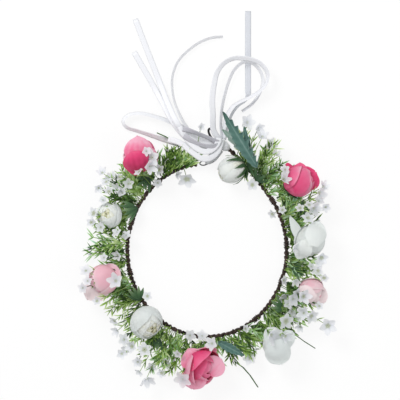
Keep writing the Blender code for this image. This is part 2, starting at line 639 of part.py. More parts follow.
for v in bm.verts:
    index = round((v.co.x + 1) / 2 * (len(path) - 1))
    width = RIBBON_WIDTH * (GATHER if path[index] in over else 1.0)
    v.co = path[index] + across * (width / 2) * round(v.co.y)
tie_strip = mesh_object("ribbon_tie", bm)
shell = tie_strip.modifiers.new("wall", "SOLIDIFY")
shell.thickness = RIBBON_WALL
shell.offset = 0
finish(baked(tie_strip), SATIN)

# The origin is under the middle of the crown, measured without its loose ribbon
bpy.context.view_layer.update()
low = Vector((1, 1, 1))
high = Vector((-1, -1, -1))
for obj in crown.objects:
    if obj.type == "MESH" and not obj.name.startswith(("ribbon_loop", "ribbon_tail")):
        for v in obj.data.vertices:
            spot = obj.matrix_world @ v.co
            low = Vector(min(a, b) for a, b in zip(low, spot))
            high = Vector(max(a, b) for a, b in zip(high, spot))
root.location = (-(low.x + high.x) / 2, -(low.y + high.y) / 2, -low.z)
bpy.context.view_layer.update()
print("crown", [round(b - a, 4) for a, b in zip(low, high)], "moved by", [round(v, 5) for v in root.location])
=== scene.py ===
# %% [markdown]
# # A flower crown, dressed over its CAD frame
# The crown lies on a table and is seen from straight above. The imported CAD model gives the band, its
# bindings, the end loops, the bendable stems and the lie of every ribbon. Silk, needles, leaves, bark and
# satin are modelled here over those solids, and each new piece rides on the band or on the flower that it
# moves with.

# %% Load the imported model
import json
import math
import random
from collections import namedtuple

import bmesh
import bpy
from mathutils import Matrix, Vector


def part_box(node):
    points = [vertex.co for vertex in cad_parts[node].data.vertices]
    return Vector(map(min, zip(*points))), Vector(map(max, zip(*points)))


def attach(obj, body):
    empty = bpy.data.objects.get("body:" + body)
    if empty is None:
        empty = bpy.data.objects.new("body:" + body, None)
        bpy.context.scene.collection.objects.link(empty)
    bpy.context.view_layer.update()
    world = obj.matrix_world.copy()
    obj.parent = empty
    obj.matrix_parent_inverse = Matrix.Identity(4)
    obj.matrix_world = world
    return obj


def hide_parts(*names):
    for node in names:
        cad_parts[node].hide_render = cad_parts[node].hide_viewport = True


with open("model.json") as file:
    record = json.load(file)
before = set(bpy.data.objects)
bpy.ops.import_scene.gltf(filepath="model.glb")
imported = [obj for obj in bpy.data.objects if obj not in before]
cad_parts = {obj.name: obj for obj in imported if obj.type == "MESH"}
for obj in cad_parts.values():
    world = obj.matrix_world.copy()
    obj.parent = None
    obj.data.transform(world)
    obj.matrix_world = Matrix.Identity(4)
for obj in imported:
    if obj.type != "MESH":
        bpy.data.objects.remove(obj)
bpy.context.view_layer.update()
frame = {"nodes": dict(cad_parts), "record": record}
UP = Vector((0, 0, 1))
mounts = {mount["name"]: Vector(mount["pos_m"]) for mount in frame["record"]["mounts"]}
BAND_HEIGHT = mounts["head_opening"].z
SHIFT = Vector((mounts["head_opening"].x, mounts["head_opening"].y, 0))
print("ring centre", [round(value, 4) for value in SHIFT], "band height", round(BAND_HEIGHT, 4))

# %% [markdown]
# ## Camera, table and light
# A product picture from straight above has almost no perspective, so the camera is high up with a long
# lens. The table is white. To the camera and to shiny surfaces it shows mostly its own white, and a share
# of plain diffuse paint is left in so that a soft shadow stays under the crown.

# %% Camera
# the size of one pixel of the photograph on the table, the ring's centre in it, and its own middle
PIXEL = 0.00108
CENTRE_X, CENTRE_Y = 207, 250
PICTURE_MIDDLE = 200
CAMERA_HEIGHT = 3.0


def pixel(x, y, z=0.0):
    """A place over the table from a place in the photograph, which is 400 pixels wide."""
    return Vector(((x - CENTRE_X) * PIXEL, (CENTRE_Y - y) * PIXEL, z)) + SHIFT


lens = bpy.data.cameras.new("camera")
lens.lens = 250
lens.sensor_width = 36
camera = bpy.data.objects.new("camera", lens)
bpy.context.scene.collection.objects.link(camera)
camera.location = pixel(PICTURE_MIDDLE, PICTURE_MIDDLE, CAMERA_HEIGHT)
bpy.context.scene.camera = camera
print("camera over", [round(value, 3) for value in camera.location])


# %% Nodes that several materials use
def new_material(name):
    """A material, its node tree and its Principled shader."""
    made = bpy.data.materials.new(name)
    made.use_nodes = True
    return made, made.node_tree, made.node_tree.nodes["Principled BSDF"]


def math_node(tree, kind, *values):
    """A math node. Each value is a number or another node's output."""
    made = tree.nodes.new("ShaderNodeMath")
    made.operation = kind
    for socket, value in zip(made.inputs, values):
        if isinstance(value, (int, float)):
            socket.default_value = value
        else:
            tree.links.new(value, socket)
    return made.outputs["Value"]


def mix_shaders(tree, share, first, second):
    """Sends a mix of two shaders to the material's surface."""
    both = tree.nodes.new("ShaderNodeMixShader")
    if isinstance(share, float):
        both.inputs["Fac"].default_value = share
    else:
        tree.links.new(share, both.inputs["Fac"])
    tree.links.new(first, both.inputs[1])
    tree.links.new(second, both.inputs[2])
    tree.links.new(both.outputs["Shader"], tree.nodes["Material Output"].inputs["Surface"])


def press_in(tree, skin, height, strength, depth):
    """Lets a pattern press into a surface."""
    dent = tree.nodes.new("ShaderNodeBump")
    dent.inputs["Strength"].default_value = strength
    dent.inputs["Distance"].default_value = depth
    tree.links.new(height, dent.inputs["Height"])
    tree.links.new(dent.outputs["Normal"], skin.inputs["Normal"])


print("node helpers ready")

# %% Table
TABLE_WIDTH, TABLE_DROP = 6, 0.0004
WHITE_SHARE = 0.86


def deselect_all():
    bpy.ops.object.select_all(action="DESELECT")


deselect_all()
bpy.ops.mesh.primitive_plane_add(size=TABLE_WIDTH, location=(0, 0, -TABLE_DROP))
table = bpy.context.object
table.name = "table"
white, tree, paint = new_material("white_table")
paint.inputs["Base Color"].default_value = (0.9, 0.9, 0.9, 1)
paint.inputs["Roughness"].default_value = 0.9
glow = tree.nodes.new("ShaderNodeEmission")
rays = tree.nodes.new("ShaderNodeLightPath")
seen = math_node(tree, "MAXIMUM", rays.outputs["Is Camera Ray"], rays.outputs["Is Glossy Ray"])
seen = math_node(tree, "MAXIMUM", seen, rays.outputs["Is Transmission Ray"])
share = math_node(tree, "MULTIPLY", seen, WHITE_SHARE)
mix_shaders(tree, share, paint.outputs["BSDF"], glow.outputs["Emission"])
table.data.materials.append(white)
print("table", round(table.dimensions.x, 1), "m wide")

# %% Light
WORLD_STRENGTH = 0.62
world = bpy.data.worlds.new("studio")
bpy.context.scene.world = world
world.use_nodes = True
background = world.node_tree.nodes["Background"]
background.inputs["Color"].default_value = (1, 1, 1, 1)
background.inputs["Strength"].default_value = WORLD_STRENGTH
bpy.context.scene.view_settings.view_transform = "Standard"


def softbox(name, place, size, power):
    """A round soft lamp that points at the crown."""
    lamp = bpy.data.lights.new(name, "AREA")
    lamp.shape = "DISK"
    lamp.size = size
    lamp.energy = power
    obj = bpy.data.objects.new(name, lamp)
    bpy.context.scene.collection.objects.link(obj)
    obj.location = place
    obj.rotation_euler = (-Vector(place)).to_track_quat("-Z", "Y").to_euler()


softbox("key_light", (-0.7, 0.8, 1.1), 0.7, 12.5)
softbox("fill_light", (0.9, -0.3, 0.9), 1.0, 4.0)
print("lamps", len(bpy.data.lights))

# %% [markdown]
# ## Finishes
# Nothing on the crown has one flat colour. Every piece of silk, greenery and bark carries a vertex
# attribute called tone: red mostly runs from the foot of a petal or needle to its rim, green is each
# petal's or needle's own value, and blue says how bluish a needle is. One node group turns these into a
# tone that also drifts in patches, and gives a fine grain. Each finish runs its own colour ramp over that
# tone. Petals and needles are thin, so a Translucent shader lets some light through them.

# %% Tone and grain, shared by these finishes
PATCH_SCALE = 85
tone_and_grain = bpy.data.node_groups.new("tone_and_grain", "ShaderNodeTree")
for label in ("Patchiness", "Grain Scale"):
    tone_and_grain.interface.new_socket(label, in_out="INPUT", socket_type="NodeSocketFloat")
for label in ("Tone", "Grain", "Cool"):
    tone_and_grain.interface.new_socket(label, in_out="OUTPUT", socket_type="NodeSocketFloat")
entry = tone_and_grain.nodes.new("NodeGroupInput")
leave = tone_and_grain.nodes.new("NodeGroupOutput")
stored = tone_and_grain.nodes.new("ShaderNodeAttribute")
stored.attribute_name = "tone"
split = tone_and_grain.nodes.new("ShaderNodeSeparateColor")
place = tone_and_grain.nodes.new("ShaderNodeTexCoord")
grain = tone_and_grain.nodes.new("ShaderNodeTexNoise")
grain.inputs["Detail"].default_value = 4
patch = tone_and_grain.nodes.new("ShaderNodeTexNoise")
patch.inputs["Scale"].default_value = PATCH_SCALE
patch.inputs["Detail"].default_value = 2
join = tone_and_grain.links.new
join(stored.outputs["Color"], split.inputs["Color"])
join(place.outputs["Object"], grain.inputs["Vector"])
join(place.outputs["Object"], patch.inputs["Vector"])
join(entry.outputs["Grain Scale"], grain.inputs["Scale"])
drift = math_node(tone_and_grain, "ADD", patch.outputs["Fac"], split.outputs["Green"])
drift = math_node(tone_and_grain, "SUBTRACT", drift, 1.0)
drift = math_node(tone_and_grain, "MULTIPLY_ADD", drift, entry.outputs["Patchiness"], split.outputs["Red"])
join(drift, leave.inputs["Tone"])
join(grain.outputs["Fac"], leave.inputs["Grain"])
join(split.outputs["Blue"], leave.inputs["Cool"])
print("group outputs", [socket.name for socket in leave.inputs if socket.name])

# %% One finish
GRAIN_DEPTH = 0.0003


def finish(name, stops, roughness=0.5, patchiness=0.3, thin=0.0, sheen=0.0, bump=0.15, grain_scale=700.0,
           cool=None):
    """A finish that runs from the first stop's colour at a piece's foot to the last at its rim."""
    made, tree, skin = new_material(name)
    skin.inputs["Roughness"].default_value = roughness
    skin.inputs["Sheen Weight"].default_value = sheen
    skin.inputs["Specular IOR Level"].default_value = 0.3
    shared = tree.nodes.new("ShaderNodeGroup")
    shared.node_tree = tone_and_grain
    shared.inputs["Patchiness"].default_value = patchiness
    shared.inputs["Grain Scale"].default_value = grain_scale
    ramp = tree.nodes.new("ShaderNodeValToRGB")
    while len(ramp.color_ramp.elements) < len(stops):
        ramp.color_ramp.elements.new(0.5)
    for element, (at, colour) in zip(ramp.color_ramp.elements, stops):
        element.position = at
        element.color = (*colour, 1)
    tree.links.new(shared.outputs["Tone"], ramp.inputs["Fac"])
    colour = ramp.outputs["Color"]
    if cool:
        bluish = tree.nodes.new("ShaderNodeMix")
        bluish.data_type = "RGBA"
        bluish.blend_type = "MULTIPLY"
        bluish.inputs["B"].default_value = (*cool, 1)
        tree.links.new(shared.outputs["Cool"], bluish.inputs["Factor"])
        tree.links.new(colour, bluish.inputs["A"])
        colour = bluish.outputs["Result"]
    tree.links.new(colour, skin.inputs["Base Color"])
    press_in(tree, skin, shared.outputs["Grain"], bump, GRAIN_DEPTH)
    if thin:
        through = tree.nodes.new("ShaderNodeBsdfTranslucent")
        tree.links.new(colour, through.inputs["Color"])
        mix_shaders(tree, thin, skin.outputs["BSDF"], through.outputs["BSDF"])
    return made


# %% Silk, greens, bark and wire
# the stops of each ramp are places from foot to rim, and their colours
HOT = finish("hot_pink_silk", [(0.0, (0.46, 0.01, 0.07)), (0.4, (0.84, 0.07, 0.23)),
                               (0.75, (0.89, 0.19, 0.37)), (1.0, (0.93, 0.50, 0.64))],
             patchiness=0.45, thin=0.3, sheen=0.1)
PALE = finish("pale_pink_silk", [(0.0, (0.82, 0.68, 0.58)), (0.3, (0.92, 0.50, 0.58)),
                                 (0.7, (0.94, 0.61, 0.69)), (1.0, (0.93, 0.83, 0.84))], thin=0.35, sheen=0.1)
WHITE = finish("white_silk", [(0.0, (0.78, 0.80, 0.50)), (0.3, (0.93, 0.92, 0.72)),
                              (0.6, (0.97, 0.985, 0.97)), (1.0, (0.90, 0.93, 0.925))],
               patchiness=0.2, thin=0.5, sheen=0.1, bump=0.1)
STAR = finish("star_silk", [(0.0, (0.60, 0.64, 0.50)), (0.25, (0.80, 0.82, 0.86)), (1.0, (0.93, 0.94, 0.96))],
              thin=0.45)
NEEDLE = finish("needle_green", [(0.0, (0.03, 0.075, 0.012)), (0.3, (0.12, 0.23, 0.03)),
                                 (0.6, (0.33, 0.53, 0.11)), (1.0, (0.68, 0.83, 0.42))],
                patchiness=0.85, thin=0.35, cool=(0.70, 0.90, 1.35))
FELT = finish("felted_leaf", [(0.0, (0.045, 0.115, 0.095)), (0.5, (0.10, 0.205, 0.175)),
                              (1.0, (0.33, 0.44, 0.40))],
              roughness=0.8, thin=0.1, sheen=0.3, bump=0.5, grain_scale=500.0)
UNDERSIDE = finish("leaf_underside", [(0.0, (0.24, 0.36, 0.29)), (0.5, (0.36, 0.47, 0.42)),
                                      (1.0, (0.55, 0.62, 0.60))],
                   roughness=0.85, thin=0.1, sheen=0.3, bump=0.5, grain_scale=500.0)
LEAF = finish("dark_green_leaf", [(0.0, (0.015, 0.045, 0.02)), (0.5, (0.05, 0.12, 0.045)),
                                  (1.0, (0.24, 0.34, 0.18))], thin=0.1, bump=0.3)
BARK = finish("vine_bark", [(0.0, (0.010, 0.007, 0.006)), (0.5, (0.05, 0.032, 0.026)),
                            (1.0, (0.20, 0.125, 0.10))], roughness=0.8, patchiness=0.8, bump=0.8)
STEM = finish("stem_wrap", [(0.0, (0.03, 0.08, 0.02)), (0.6, (0.07, 0.16, 0.04)), (1.0, (0.16, 0.28, 0.08))],
              patchiness=0.5, bump=0.4)
WIRE = finish("bare_wire", [(0.0, (0.006, 0.006, 0.006)), (1.0, (0.03, 0.028, 0.026))], roughness=0.45)
print("silks and greens", [made.name for made in (HOT, PALE, WHITE, STAR, NEEDLE, FELT, LEAF)])


# %% [markdown]
# Satin is woven, so its pattern has to follow the ribbon. The strips below carry a UV map that runs along
# them, and a wave texture on it gives fine threads across the width, in the colour and in the bump.

# %% Satin
THREAD_SCALE, THREAD_DEPTH = 6.0, 0.0002


def satin(name, shade, light):
    """Satin whose threads run from a shade to a lighter colour."""
    made, tree, skin = new_material(name)
    skin.inputs["Roughness"].default_value = 0.38
    skin.inputs["Sheen Weight"].default_value = 0.2
    skin.inputs["Anisotropic"].default_value = 0.5
    along = tree.nodes.new("ShaderNodeUVMap")
    threads = tree.nodes.new("ShaderNodeTexWave")
    threads.inputs["Scale"].default_value = THREAD_SCALE
    threads.inputs["Distortion"].default_value = 1.5
    colour = tree.nodes.new("ShaderNodeValToRGB")
    colour.color_ramp.elements[0].color = (*shade, 1)
    colour.color_ramp.elements[1].color = (*light, 1)
    tree.links.new(along.outputs["UV"], threads.inputs["Vector"])
    tree.links.new(threads.outputs["Fac"], colour.inputs["Fac"])
    tree.links.new(colour.outputs["Color"], skin.inputs["Base Color"])
    press_in(tree, skin, threads.outputs["Fac"], 0.12, THREAD_DEPTH)
    return made


SATIN = satin("white_satin_face", (0.71, 0.72, 0.755), (0.82, 0.83, 0.86))
SATIN_SHADE = satin("white_satin_shaded", (0.54, 0.56, 0.61), (0.66, 0.68, 0.72))
# a darker grey copy of the satin: painted shade for the two folds
SATIN_FOLD_SHADE = satin("white_satin_back", (0.42, 0.42, 0.47), (0.55, 0.55, 0.59))
print("finishes in all", len(bpy.data.materials))

# %% [markdown]
# ## The layout
# The band is an oval that opens at the top, where its right end swings outwards, and its line is the CAD
# model's own. Each large flower stands on it at an angle, reaches outwards by some millimetres and is
# lifted off the table. The flowers start from the CAD model's places. Six heads are then moved by up to 4.5
# mm, and most are turned or resized, so that the silk looks as it does in the photograph.

# %% The band's line
OPENING_WIDTH, OPENING_LENGTH = 0.166, 0.181
BAND_RADIUS = 0.00295
HALF_WIDTH = OPENING_WIDTH / 2 + BAND_RADIUS
HALF_LENGTH = OPENING_LENGTH / 2 + BAND_RADIUS
# angles round the ring's centre in degrees, which go on past 360 up to the right end
LEFT_END, RIGHT_END = 97.0, 445.0
MIDDLE_OF_GAP = 92
LEFT_MARGIN, RIGHT_MARGIN = 2, 8
FLARE_START, FLARE_REACH = 400.0, 0.0255
SMALL_ANGLE = 0.05


def band_point(angle):
    """The middle of the band at an angle."""
    turn = math.radians(angle)
    radius = 1 / math.hypot(math.cos(turn) / HALF_WIDTH, math.sin(turn) / HALF_LENGTH)
    beyond = max(0.0, (angle - FLARE_START) / (RIGHT_END - FLARE_START))
    radius += FLARE_REACH * beyond ** 2
    return Vector((radius * math.cos(turn), radius * math.sin(turn), BAND_HEIGHT)) + SHIFT


def band_frame(angle):
    """The band's middle, the way along it and the way out of the ring."""
    along = (band_point(angle + SMALL_ANGLE) - band_point(angle - SMALL_ANGLE)).normalized()
    return band_point(angle), along, along.cross(UP)


def band_angle(spot):
    """The angle of a spot as seen from the ring's centre, kept off the band's ends."""
    turn = math.degrees(math.atan2(spot.y - SHIFT.y, spot.x - SHIFT.x)) % 360
    if turn < MIDDLE_OF_GAP:
        turn += 360
    return min(max(turn, LEFT_END + LEFT_MARGIN), RIGHT_END - RIGHT_MARGIN)


for end in (LEFT_END, RIGHT_END):
    print("band end", [round(value, 3) for value in band_point(end)])

# %% The large flowers
Flower = namedtuple("Flower", "name silk angle reach shift lift facing climb width height")
FLOWERS = [
    Flower("rose_1", HOT, 126.0, 0.0345, -0.004, 0.0185, 140, 18, 0.0375, 0.0350),
    Flower("ranunculus_1", WHITE, 159.6, 0.0250, 0.000, 0.0150, 150, 76, 0.0300, 0.0270),
    Flower("rose_2", PALE, 196.4, 0.0290, 0.000, 0.0160, 212, 8, 0.0350, 0.0330),
    Flower("ranunculus_2", WHITE, 230.3, 0.0105, 0.000, 0.0210, 318, 44, 0.0390, 0.0320),
    Flower("rose_3", HOT, 267.0, 0.0310, 0.002, 0.0192, 330, 34, 0.0425, 0.0370),
    Flower("ranunculus_3", WHITE, 305.3, 0.0350, 0.000, 0.0160, 300, 12, 0.0330, 0.0310),
    Flower("rose_4", PALE, 337.5, 0.0335, 0.000, 0.0150, 345, 14, 0.0315, 0.0300),
    Flower("ranunculus_4", WHITE, 3.8, 0.0245, 0.003, 0.0150, 60, 14, 0.0360, 0.0340),
    Flower("rose_5", HOT, 36.9, 0.0350, 0.003, 0.0184, 34, 10, 0.0370, 0.0350),
    Flower("ranunculus_5", WHITE, 423.5, -0.0150, 0.0105, 0.0155, 200, 8, 0.0305, 0.0320),
]


def head_frame(flower):
    """Where a flower's foot is and which way it opens. Facing and climb are that way's angles in degrees."""
    middle, along, outward = band_frame(flower.angle)
    head = middle + outward * flower.reach + along * flower.shift + UP * flower.lift
    turn, rise = math.radians(flower.facing), math.radians(flower.climb)
    axis = Vector((math.cos(turn) * math.cos(rise), math.sin(turn) * math.cos(rise), math.sin(rise)))
    foot = Matrix.Translation(head - axis * flower.height / 2)
    return foot @ axis.to_track_quat("Z", "Y").to_matrix().to_4x4()


print("large flowers", len(FLOWERS))

# %% [markdown]
# ## Tools for modelling
# Most pieces start as a flat grid, are shaped by moving its vertices, and are joined. A modifier is applied
# as soon as it is set, so that every finished piece is plain mesh at the origin.

# %% Modelling helpers
def select_only(*pieces):
    deselect_all()
    for piece in pieces:
        piece.select_set(True)
    bpy.context.view_layer.objects.active = pieces[0]


def new_tones(piece):
    """Gives a piece its tone attribute."""
    return piece.data.color_attributes.new("tone", "FLOAT_COLOR", "POINT").data


def new_grid(across, along):
    """A flat grid, 2 by 2, with a tone on every vertex."""
    deselect_all()
    bpy.ops.mesh.primitive_grid_add(x_subdivisions=across, y_subdivisions=along, size=2)
    new_tones(bpy.context.object)
    return bpy.context.object


def toned(piece):
    """Each vertex of a piece, with its tone."""
    return zip(piece.data.vertices, piece.data.color_attributes["tone"].data)


def named(piece, name):
    piece.name = piece.data.name = name
    return piece


def joined(pieces, name):
    select_only(*pieces)
    bpy.ops.object.join()
    return named(bpy.context.object, name)


def thickened(piece, wall, rounds=0):
    """Gives a sheet its thickness, and rounds it."""
    select_only(piece)
    solid = piece.modifiers.new("wall", "SOLIDIFY")
    solid.thickness = wall
    bpy.ops.object.modifier_apply(modifier="wall")
    if rounds:
        soft = piece.modifiers.new("round", "SUBSURF")
        soft.levels = soft.render_levels = rounds
        bpy.ops.object.modifier_apply(modifier="round")
    return piece


def dressed(piece, material, body, slot, *nodes):
    """Finishes a piece: its material, smooth shading, the body it rides on and the solids it stands for."""
    piece.data.materials.clear()
    piece.data.materials.append(material)
    select_only(piece)
    bpy.ops.object.shade_smooth()
    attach(piece, body)
    if nodes:
        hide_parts(*nodes)


print("helpers ready")

# %% [markdown]
# ## Silk petals
# A real silk petal is a disc of cloth, pressed hollow and wrapped round the ones inside it. Here a grid is
# laid on an egg: its lower side is the foot and its upper side the rim. One long edge stands further out
# than the other, so each petal slips under its neighbour, and the rim rolls back. A sphere cut into petals
# would look too even.

# %% One petal
SILK_WALL = 0.00025
RIM_START, RIM_WIDTH = 0.70, 0.30
ANY_PHASE = (0, 6.28)


def petal(row, width, height, rng):
    """row: turn, half angle and reach over the egg in degrees, and size, roll, slip, lift, tones, point."""
    turn, half_angle, size, reach, roll, slip, lift, foot_tone, rim_tone, point = row
    radius, half_height = width / 2 * size * 0.97, height / 2 * size
    own, wave, tilt = rng.random(), rng.uniform(*ANY_PHASE), rng.uniform(-0.05, 0.05)
    sheet = new_grid(8, 9)
    for v, shade in toned(sheet):
        across, along = v.co.x, (v.co.y + 1) / 2
        over = math.radians(reach) * along * (1 - (0.14 * across ** 2 + tilt * across) * along)
        side = math.radians(half_angle) * (0.7 + 0.3 * math.sin(math.pi * along)) * (1 - point * along ** 2)
        rim = max(0.0, along - RIM_START) / RIM_WIDTH
        bulge = 1 + slip * across + 0.02 * math.sin(across * 4 + wave) * along ** 2
        spread = radius * math.sin(over) * bulge + roll * rim ** 2 * radius
        rise = half_height * (1 - math.cos(over)) - abs(roll) * rim ** 3 * radius * 0.35
        rise += 0.025 * radius * math.sin(across * 5 + wave) * rim + lift * height + (1 - size) * height * 0.3
        lean = math.radians(turn) + across * side
        v.co = (spread * math.cos(lean), spread * math.sin(lean), rise)
        edge = max(rim ** 3, abs(across) ** 6) * 0.12
        tone = foot_tone + (rim_tone - foot_tone) * along + edge
        shade.color = (max(0.0, min(1.0, tone)), own, 0, 1)
    return sheet


def flower_head(flower, rows, name):
    """A head from rows of petals, turned to face the way the flower faces."""
    rng = random.Random(name)
    head = joined([petal(row, flower.width, flower.height, rng) for row in rows], name)
    head.data.transform(head_frame(flower))
    return thickened(head, SILK_WALL, 1)


# %% [markdown]
# A rose has two furled petals in its middle, three round them, four more, and four that wrap the bud. An
# open rose has another three that lie back. A ranunculus is a closed cream heart in tight rings, wrapped by
# four broad white petals. Green sepals hold each head from below.

# %% Rows of petals
# each row has the values that petal() names
def rose_rows(openness, start, foot, rim):
    core = 0.74 - 0.12 * openness
    rows = [(start + half, 250, core, 179, 0.0, 0.02, 0.04, 0.35, 0.6, 0) for half in (0, 180)]
    for index in range(3):
        rows.append((start + index * 125, 105, core + 0.04 + 0.035 * index, 174,
                     0.0, 0.07, 0.04, 0.3, 0.7, 0))
    for index in range(4):
        rows.append((start + 50 + index * 100, 80, core + 0.14 + 0.025 * index, 166 - 16 * openness,
                     0.02 + 0.07 * openness, 0.07, 0.02, foot * 0.6, rim * 0.85, 0))
    for index in range(4):
        rows.append((start + 20 + index * 96, 74, 0.95 + 0.015 * index, 156 - 6 * index - 26 * openness,
                     0.03 + 0.13 * openness, 0.04, 0.0, foot, rim, 0))
    if openness > 0.5:
        for index in range(3):
            rows.append((start + 60 + index * 118, 52, 1.0, 104, 0.20, 0.03, 0.0, foot, rim + 0.2, 0))
    return rows


def ranunculus_rows(openness, start, foot, rim):
    rows = [(start + half, 250, 0.84, 179, 0.0, 0.02, 0.02, 0.2, 0.12, 0) for half in (0, 180)]
    for ring in range(3):
        for index in range(3):
            rows.append((start + ring * 47 + index * 120, 88, 0.885 + 0.025 * ring + 0.006 * index,
                         174 - 8 * ring, 0.0, 0.02, 0.015 - 0.005 * ring, 0.4, 0.3 + 0.2 * ring, 0))
    for index in range(4):
        rows.append((start + index * 94, 74, 0.96 + 0.012 * index, 150 - 4 * index - 30 * openness,
                     0.01 + 0.05 * openness, 0.015, 0.0, foot, rim, 0))
    return rows


def sepal_rows(count, start, reach):
    return [(start + index * 360 / count, 17, 1.06, reach - 9 * (index % 3), 0.05, 0.0, 0.0, 0.2, 0.7, 0.9)
            for index in range(count)]


# %% Build the flowers
SLOTS = {HOT: "hot_pink_petal", PALE: "pale_pink_petal", WHITE: "white_petal"}
# how far open, and the tone of the outer petals from foot to rim
BLOOM = {"rose_1": (0.0, 0.3, 0.95), "rose_2": (0.05, 0.35, 0.75), "rose_3": (0.95, 0.3, 0.8),
         "rose_4": (0.1, 0.75, 1.1), "rose_5": (0.0, 0.3, 0.95), "ranunculus_1": (0.25, 0.6, 1.0),
         "ranunculus_2": (0.1, 0.6, 1.0), "ranunculus_3": (0.0, 0.6, 1.0), "ranunculus_4": (0.0, 0.6, 1.0),
         "ranunculus_5": (-0.45, 0.5, 0.75)}
FIRST_PETAL = 35
for flower in FLOWERS:
    name = flower.name
    is_rose = name.startswith("rose")
    openness, foot, rim = BLOOM[name]
    rows = (rose_rows if is_rose else ranunculus_rows)(openness, FIRST_PETAL + flower.angle, foot, rim)
    solids = [name + "_petals"] + ([name + "_heart"] if is_rose else [])
    dressed(flower_head(flower, rows, name + "_bloom"), flower.silk, name, SLOTS[flower.silk], *solids)
    rows = sepal_rows(9, 10, 104) if name == "ranunculus_5" else sepal_rows(5, 40, 48)
    dressed(flower_head(flower, rows, name + "_sepals"), LEAF, name, "stem_green")
    stem = frame["nodes"][name + "_stem"].data.materials
    stem.clear()
    stem.append(STEM)

# %% [markdown]
# The outermost petals are what tells one flower from the next. Each is drawn here as it lies in the
# photograph, from its foot to its tip, and draped over its flower's head, so that it hugs the petals below
# and stands off at the rim.

# %% Where the loose petals lie
# flower, foot and tip in the photograph, width in its pixels, over or behind the head, how pointed, and the
# tone at foot and rim
OVER, BEHIND = 1.06, 0.25
LOOSE = [
    ("rose_1", (140, 169), (138, 136), 29, OVER, 0.25, 0.5, 1.15),
    ("rose_1", (145, 163), (155, 150), 20, OVER, 0.2, 0.5, 0.9),
    ("rose_1", (142, 173.5), (132, 152), 27, OVER, 0.1, 0.2, 0.6),
    ("rose_2", (108, 276), (88, 299), 26, BEHIND, 0.1, 0.9, 1.3),
    ("rose_2", (108, 280), (116, 264), 22, BEHIND, 0.3, 0.6, 0.9),
    ("rose_3", (196, 366), (192, 387.5), 27, BEHIND, 0.1, 0.9, 1.3),
    ("rose_3", (208, 372), (221, 357), 24, BEHIND, 0.2, 0.7, 1.15),
    ("rose_3", (199, 372), (188, 347), 25, BEHIND, 0.2, 0.5, 0.9),
    ("ranunculus_3", (284, 349), (266, 327), 22, OVER, 0.2, 0.8, 1.0),
    ("ranunculus_3", (276, 347), (293, 331), 18, OVER, 0.15, 0.9, 1.0),
    ("ranunculus_3", (274, 338), (280, 363), 27, OVER, 0.0, 0.9, 1.0),
    ("rose_4", (310, 287), (324, 302), 20, BEHIND, 0.1, 0.9, 1.3),
    ("rose_4", (313, 299), (299, 285), 15, OVER, 0.4, 1.2, 1.3),
    ("ranunculus_4", (308, 240), (296, 258), 18, OVER, 0.3, 0.6, 0.9),
    ("ranunculus_4", (300, 240), (289.5, 216), 11, BEHIND, 0.9, 0.85, 1.0),
    ("ranunculus_4", (312, 246), (317, 221), 22, OVER, 0.15, 0.8, 1.0),
    ("rose_5", (300, 185), (315, 172), 27, BEHIND, 0.1, 0.1, 0.3),
    ("rose_5", (295, 179), (286, 163), 11, BEHIND, 0.7, 0.15, 0.35),
    ("rose_5", (299, 181), (299, 162.5), 16, BEHIND, 0.4, 0.2, 0.4),
]
print("loose petals", len(LOOSE))

# %% One loose petal
# a sheet over a head follows a dome a little wider than it, and falls away straight outside the dome's edge
DOME_REACH, DOME_EDGE, EDGE_HEIGHT, EDGE_FALL = 1.1, 0.93, 0.3676, 0.6
TIP_START, TIP_WIDTH, TIP_LIFT = 0.55, 0.45, 0.0012
Head = namedtuple("Head", "flower centre radius")


def drape(head, spot, height):
    """How high a sheet lies at a spot when it is laid over a flower's head."""
    apart = math.hypot(spot.x - head.centre.x, spot.y - head.centre.y) / (head.radius * DOME_REACH)
    dome = math.sqrt(1 - apart ** 2) if apart < DOME_EDGE else EDGE_HEIGHT - EDGE_FALL * (apart - DOME_EDGE)
    return head.centre.z + head.radius * dome * height


def loose_petal(head, foot, tip, width, height, point, foot_tone, rim_tone, rng):
    """A round or pointed petal draped over a flower's head."""
    sheet = new_grid(18, 12)
    reach = tip - foot
    level, wave, own = reach.cross(UP).normalized(), rng.uniform(*ANY_PHASE), rng.random()
    for v, shade in toned(sheet):
        across, along = v.co.x, (v.co.y + 1) / 2
        rim = max(0.0, along - TIP_START) / TIP_WIDTH
        narrow = math.sqrt(max(0.0, 1 - rim ** 2)) * (1 - point) + (1 - rim) * point
        half = width / 2 * (0.45 + 0.55 * math.sin(math.pi / 2 * min(1.0, along * 1.7))) * max(0.03, narrow)
        edge = max(rim ** 4, abs(across) ** 5)
        spot = foot + reach * along + level * half * across
        spot += (level * 0.0006 * math.sin(along * 8 + wave) * across
                 + reach * 0.02 * math.sin(across * 4 + wave) * along)
        ruffle = 0.0005 * edge * math.sin(across * 5 + along * 7 + wave)
        spot.z = drape(head, spot, height) + TIP_LIFT * along + ruffle
        v.co = spot
        vein = 0.03 * math.sin(across * 15 + 2 * math.sin(along * 3 + wave))
        shade.color = (foot_tone + (rim_tone - foot_tone) * along + 0.15 * edge + vein, own, 0, 1)
    return sheet


# %% Build the loose petals
PETAL_STEP = 0.0013
HEADS = [Head(flower, head_frame(flower) @ Vector((0, 0, flower.height / 2)), flower.width / 2)
         for flower in FLOWERS]
for head in HEADS:
    name, silk = head.flower.name, head.flower.silk
    rng = random.Random("loose " + name)
    made = [loose_petal(head, pixel(*foot), pixel(*tip), width * PIXEL, *shape, rng)
            for owner, foot, tip, width, *shape in LOOSE if owner == name]
    for index, piece in enumerate(made):
        piece.data.transform(Matrix.Translation(UP * PETAL_STEP * index))
    if made:
        whole = thickened(joined(made, name + "_loose"), SILK_WALL, 1)
        dressed(whole, silk, name, SLOTS[silk])
        print(name, "loose petals", len(made))

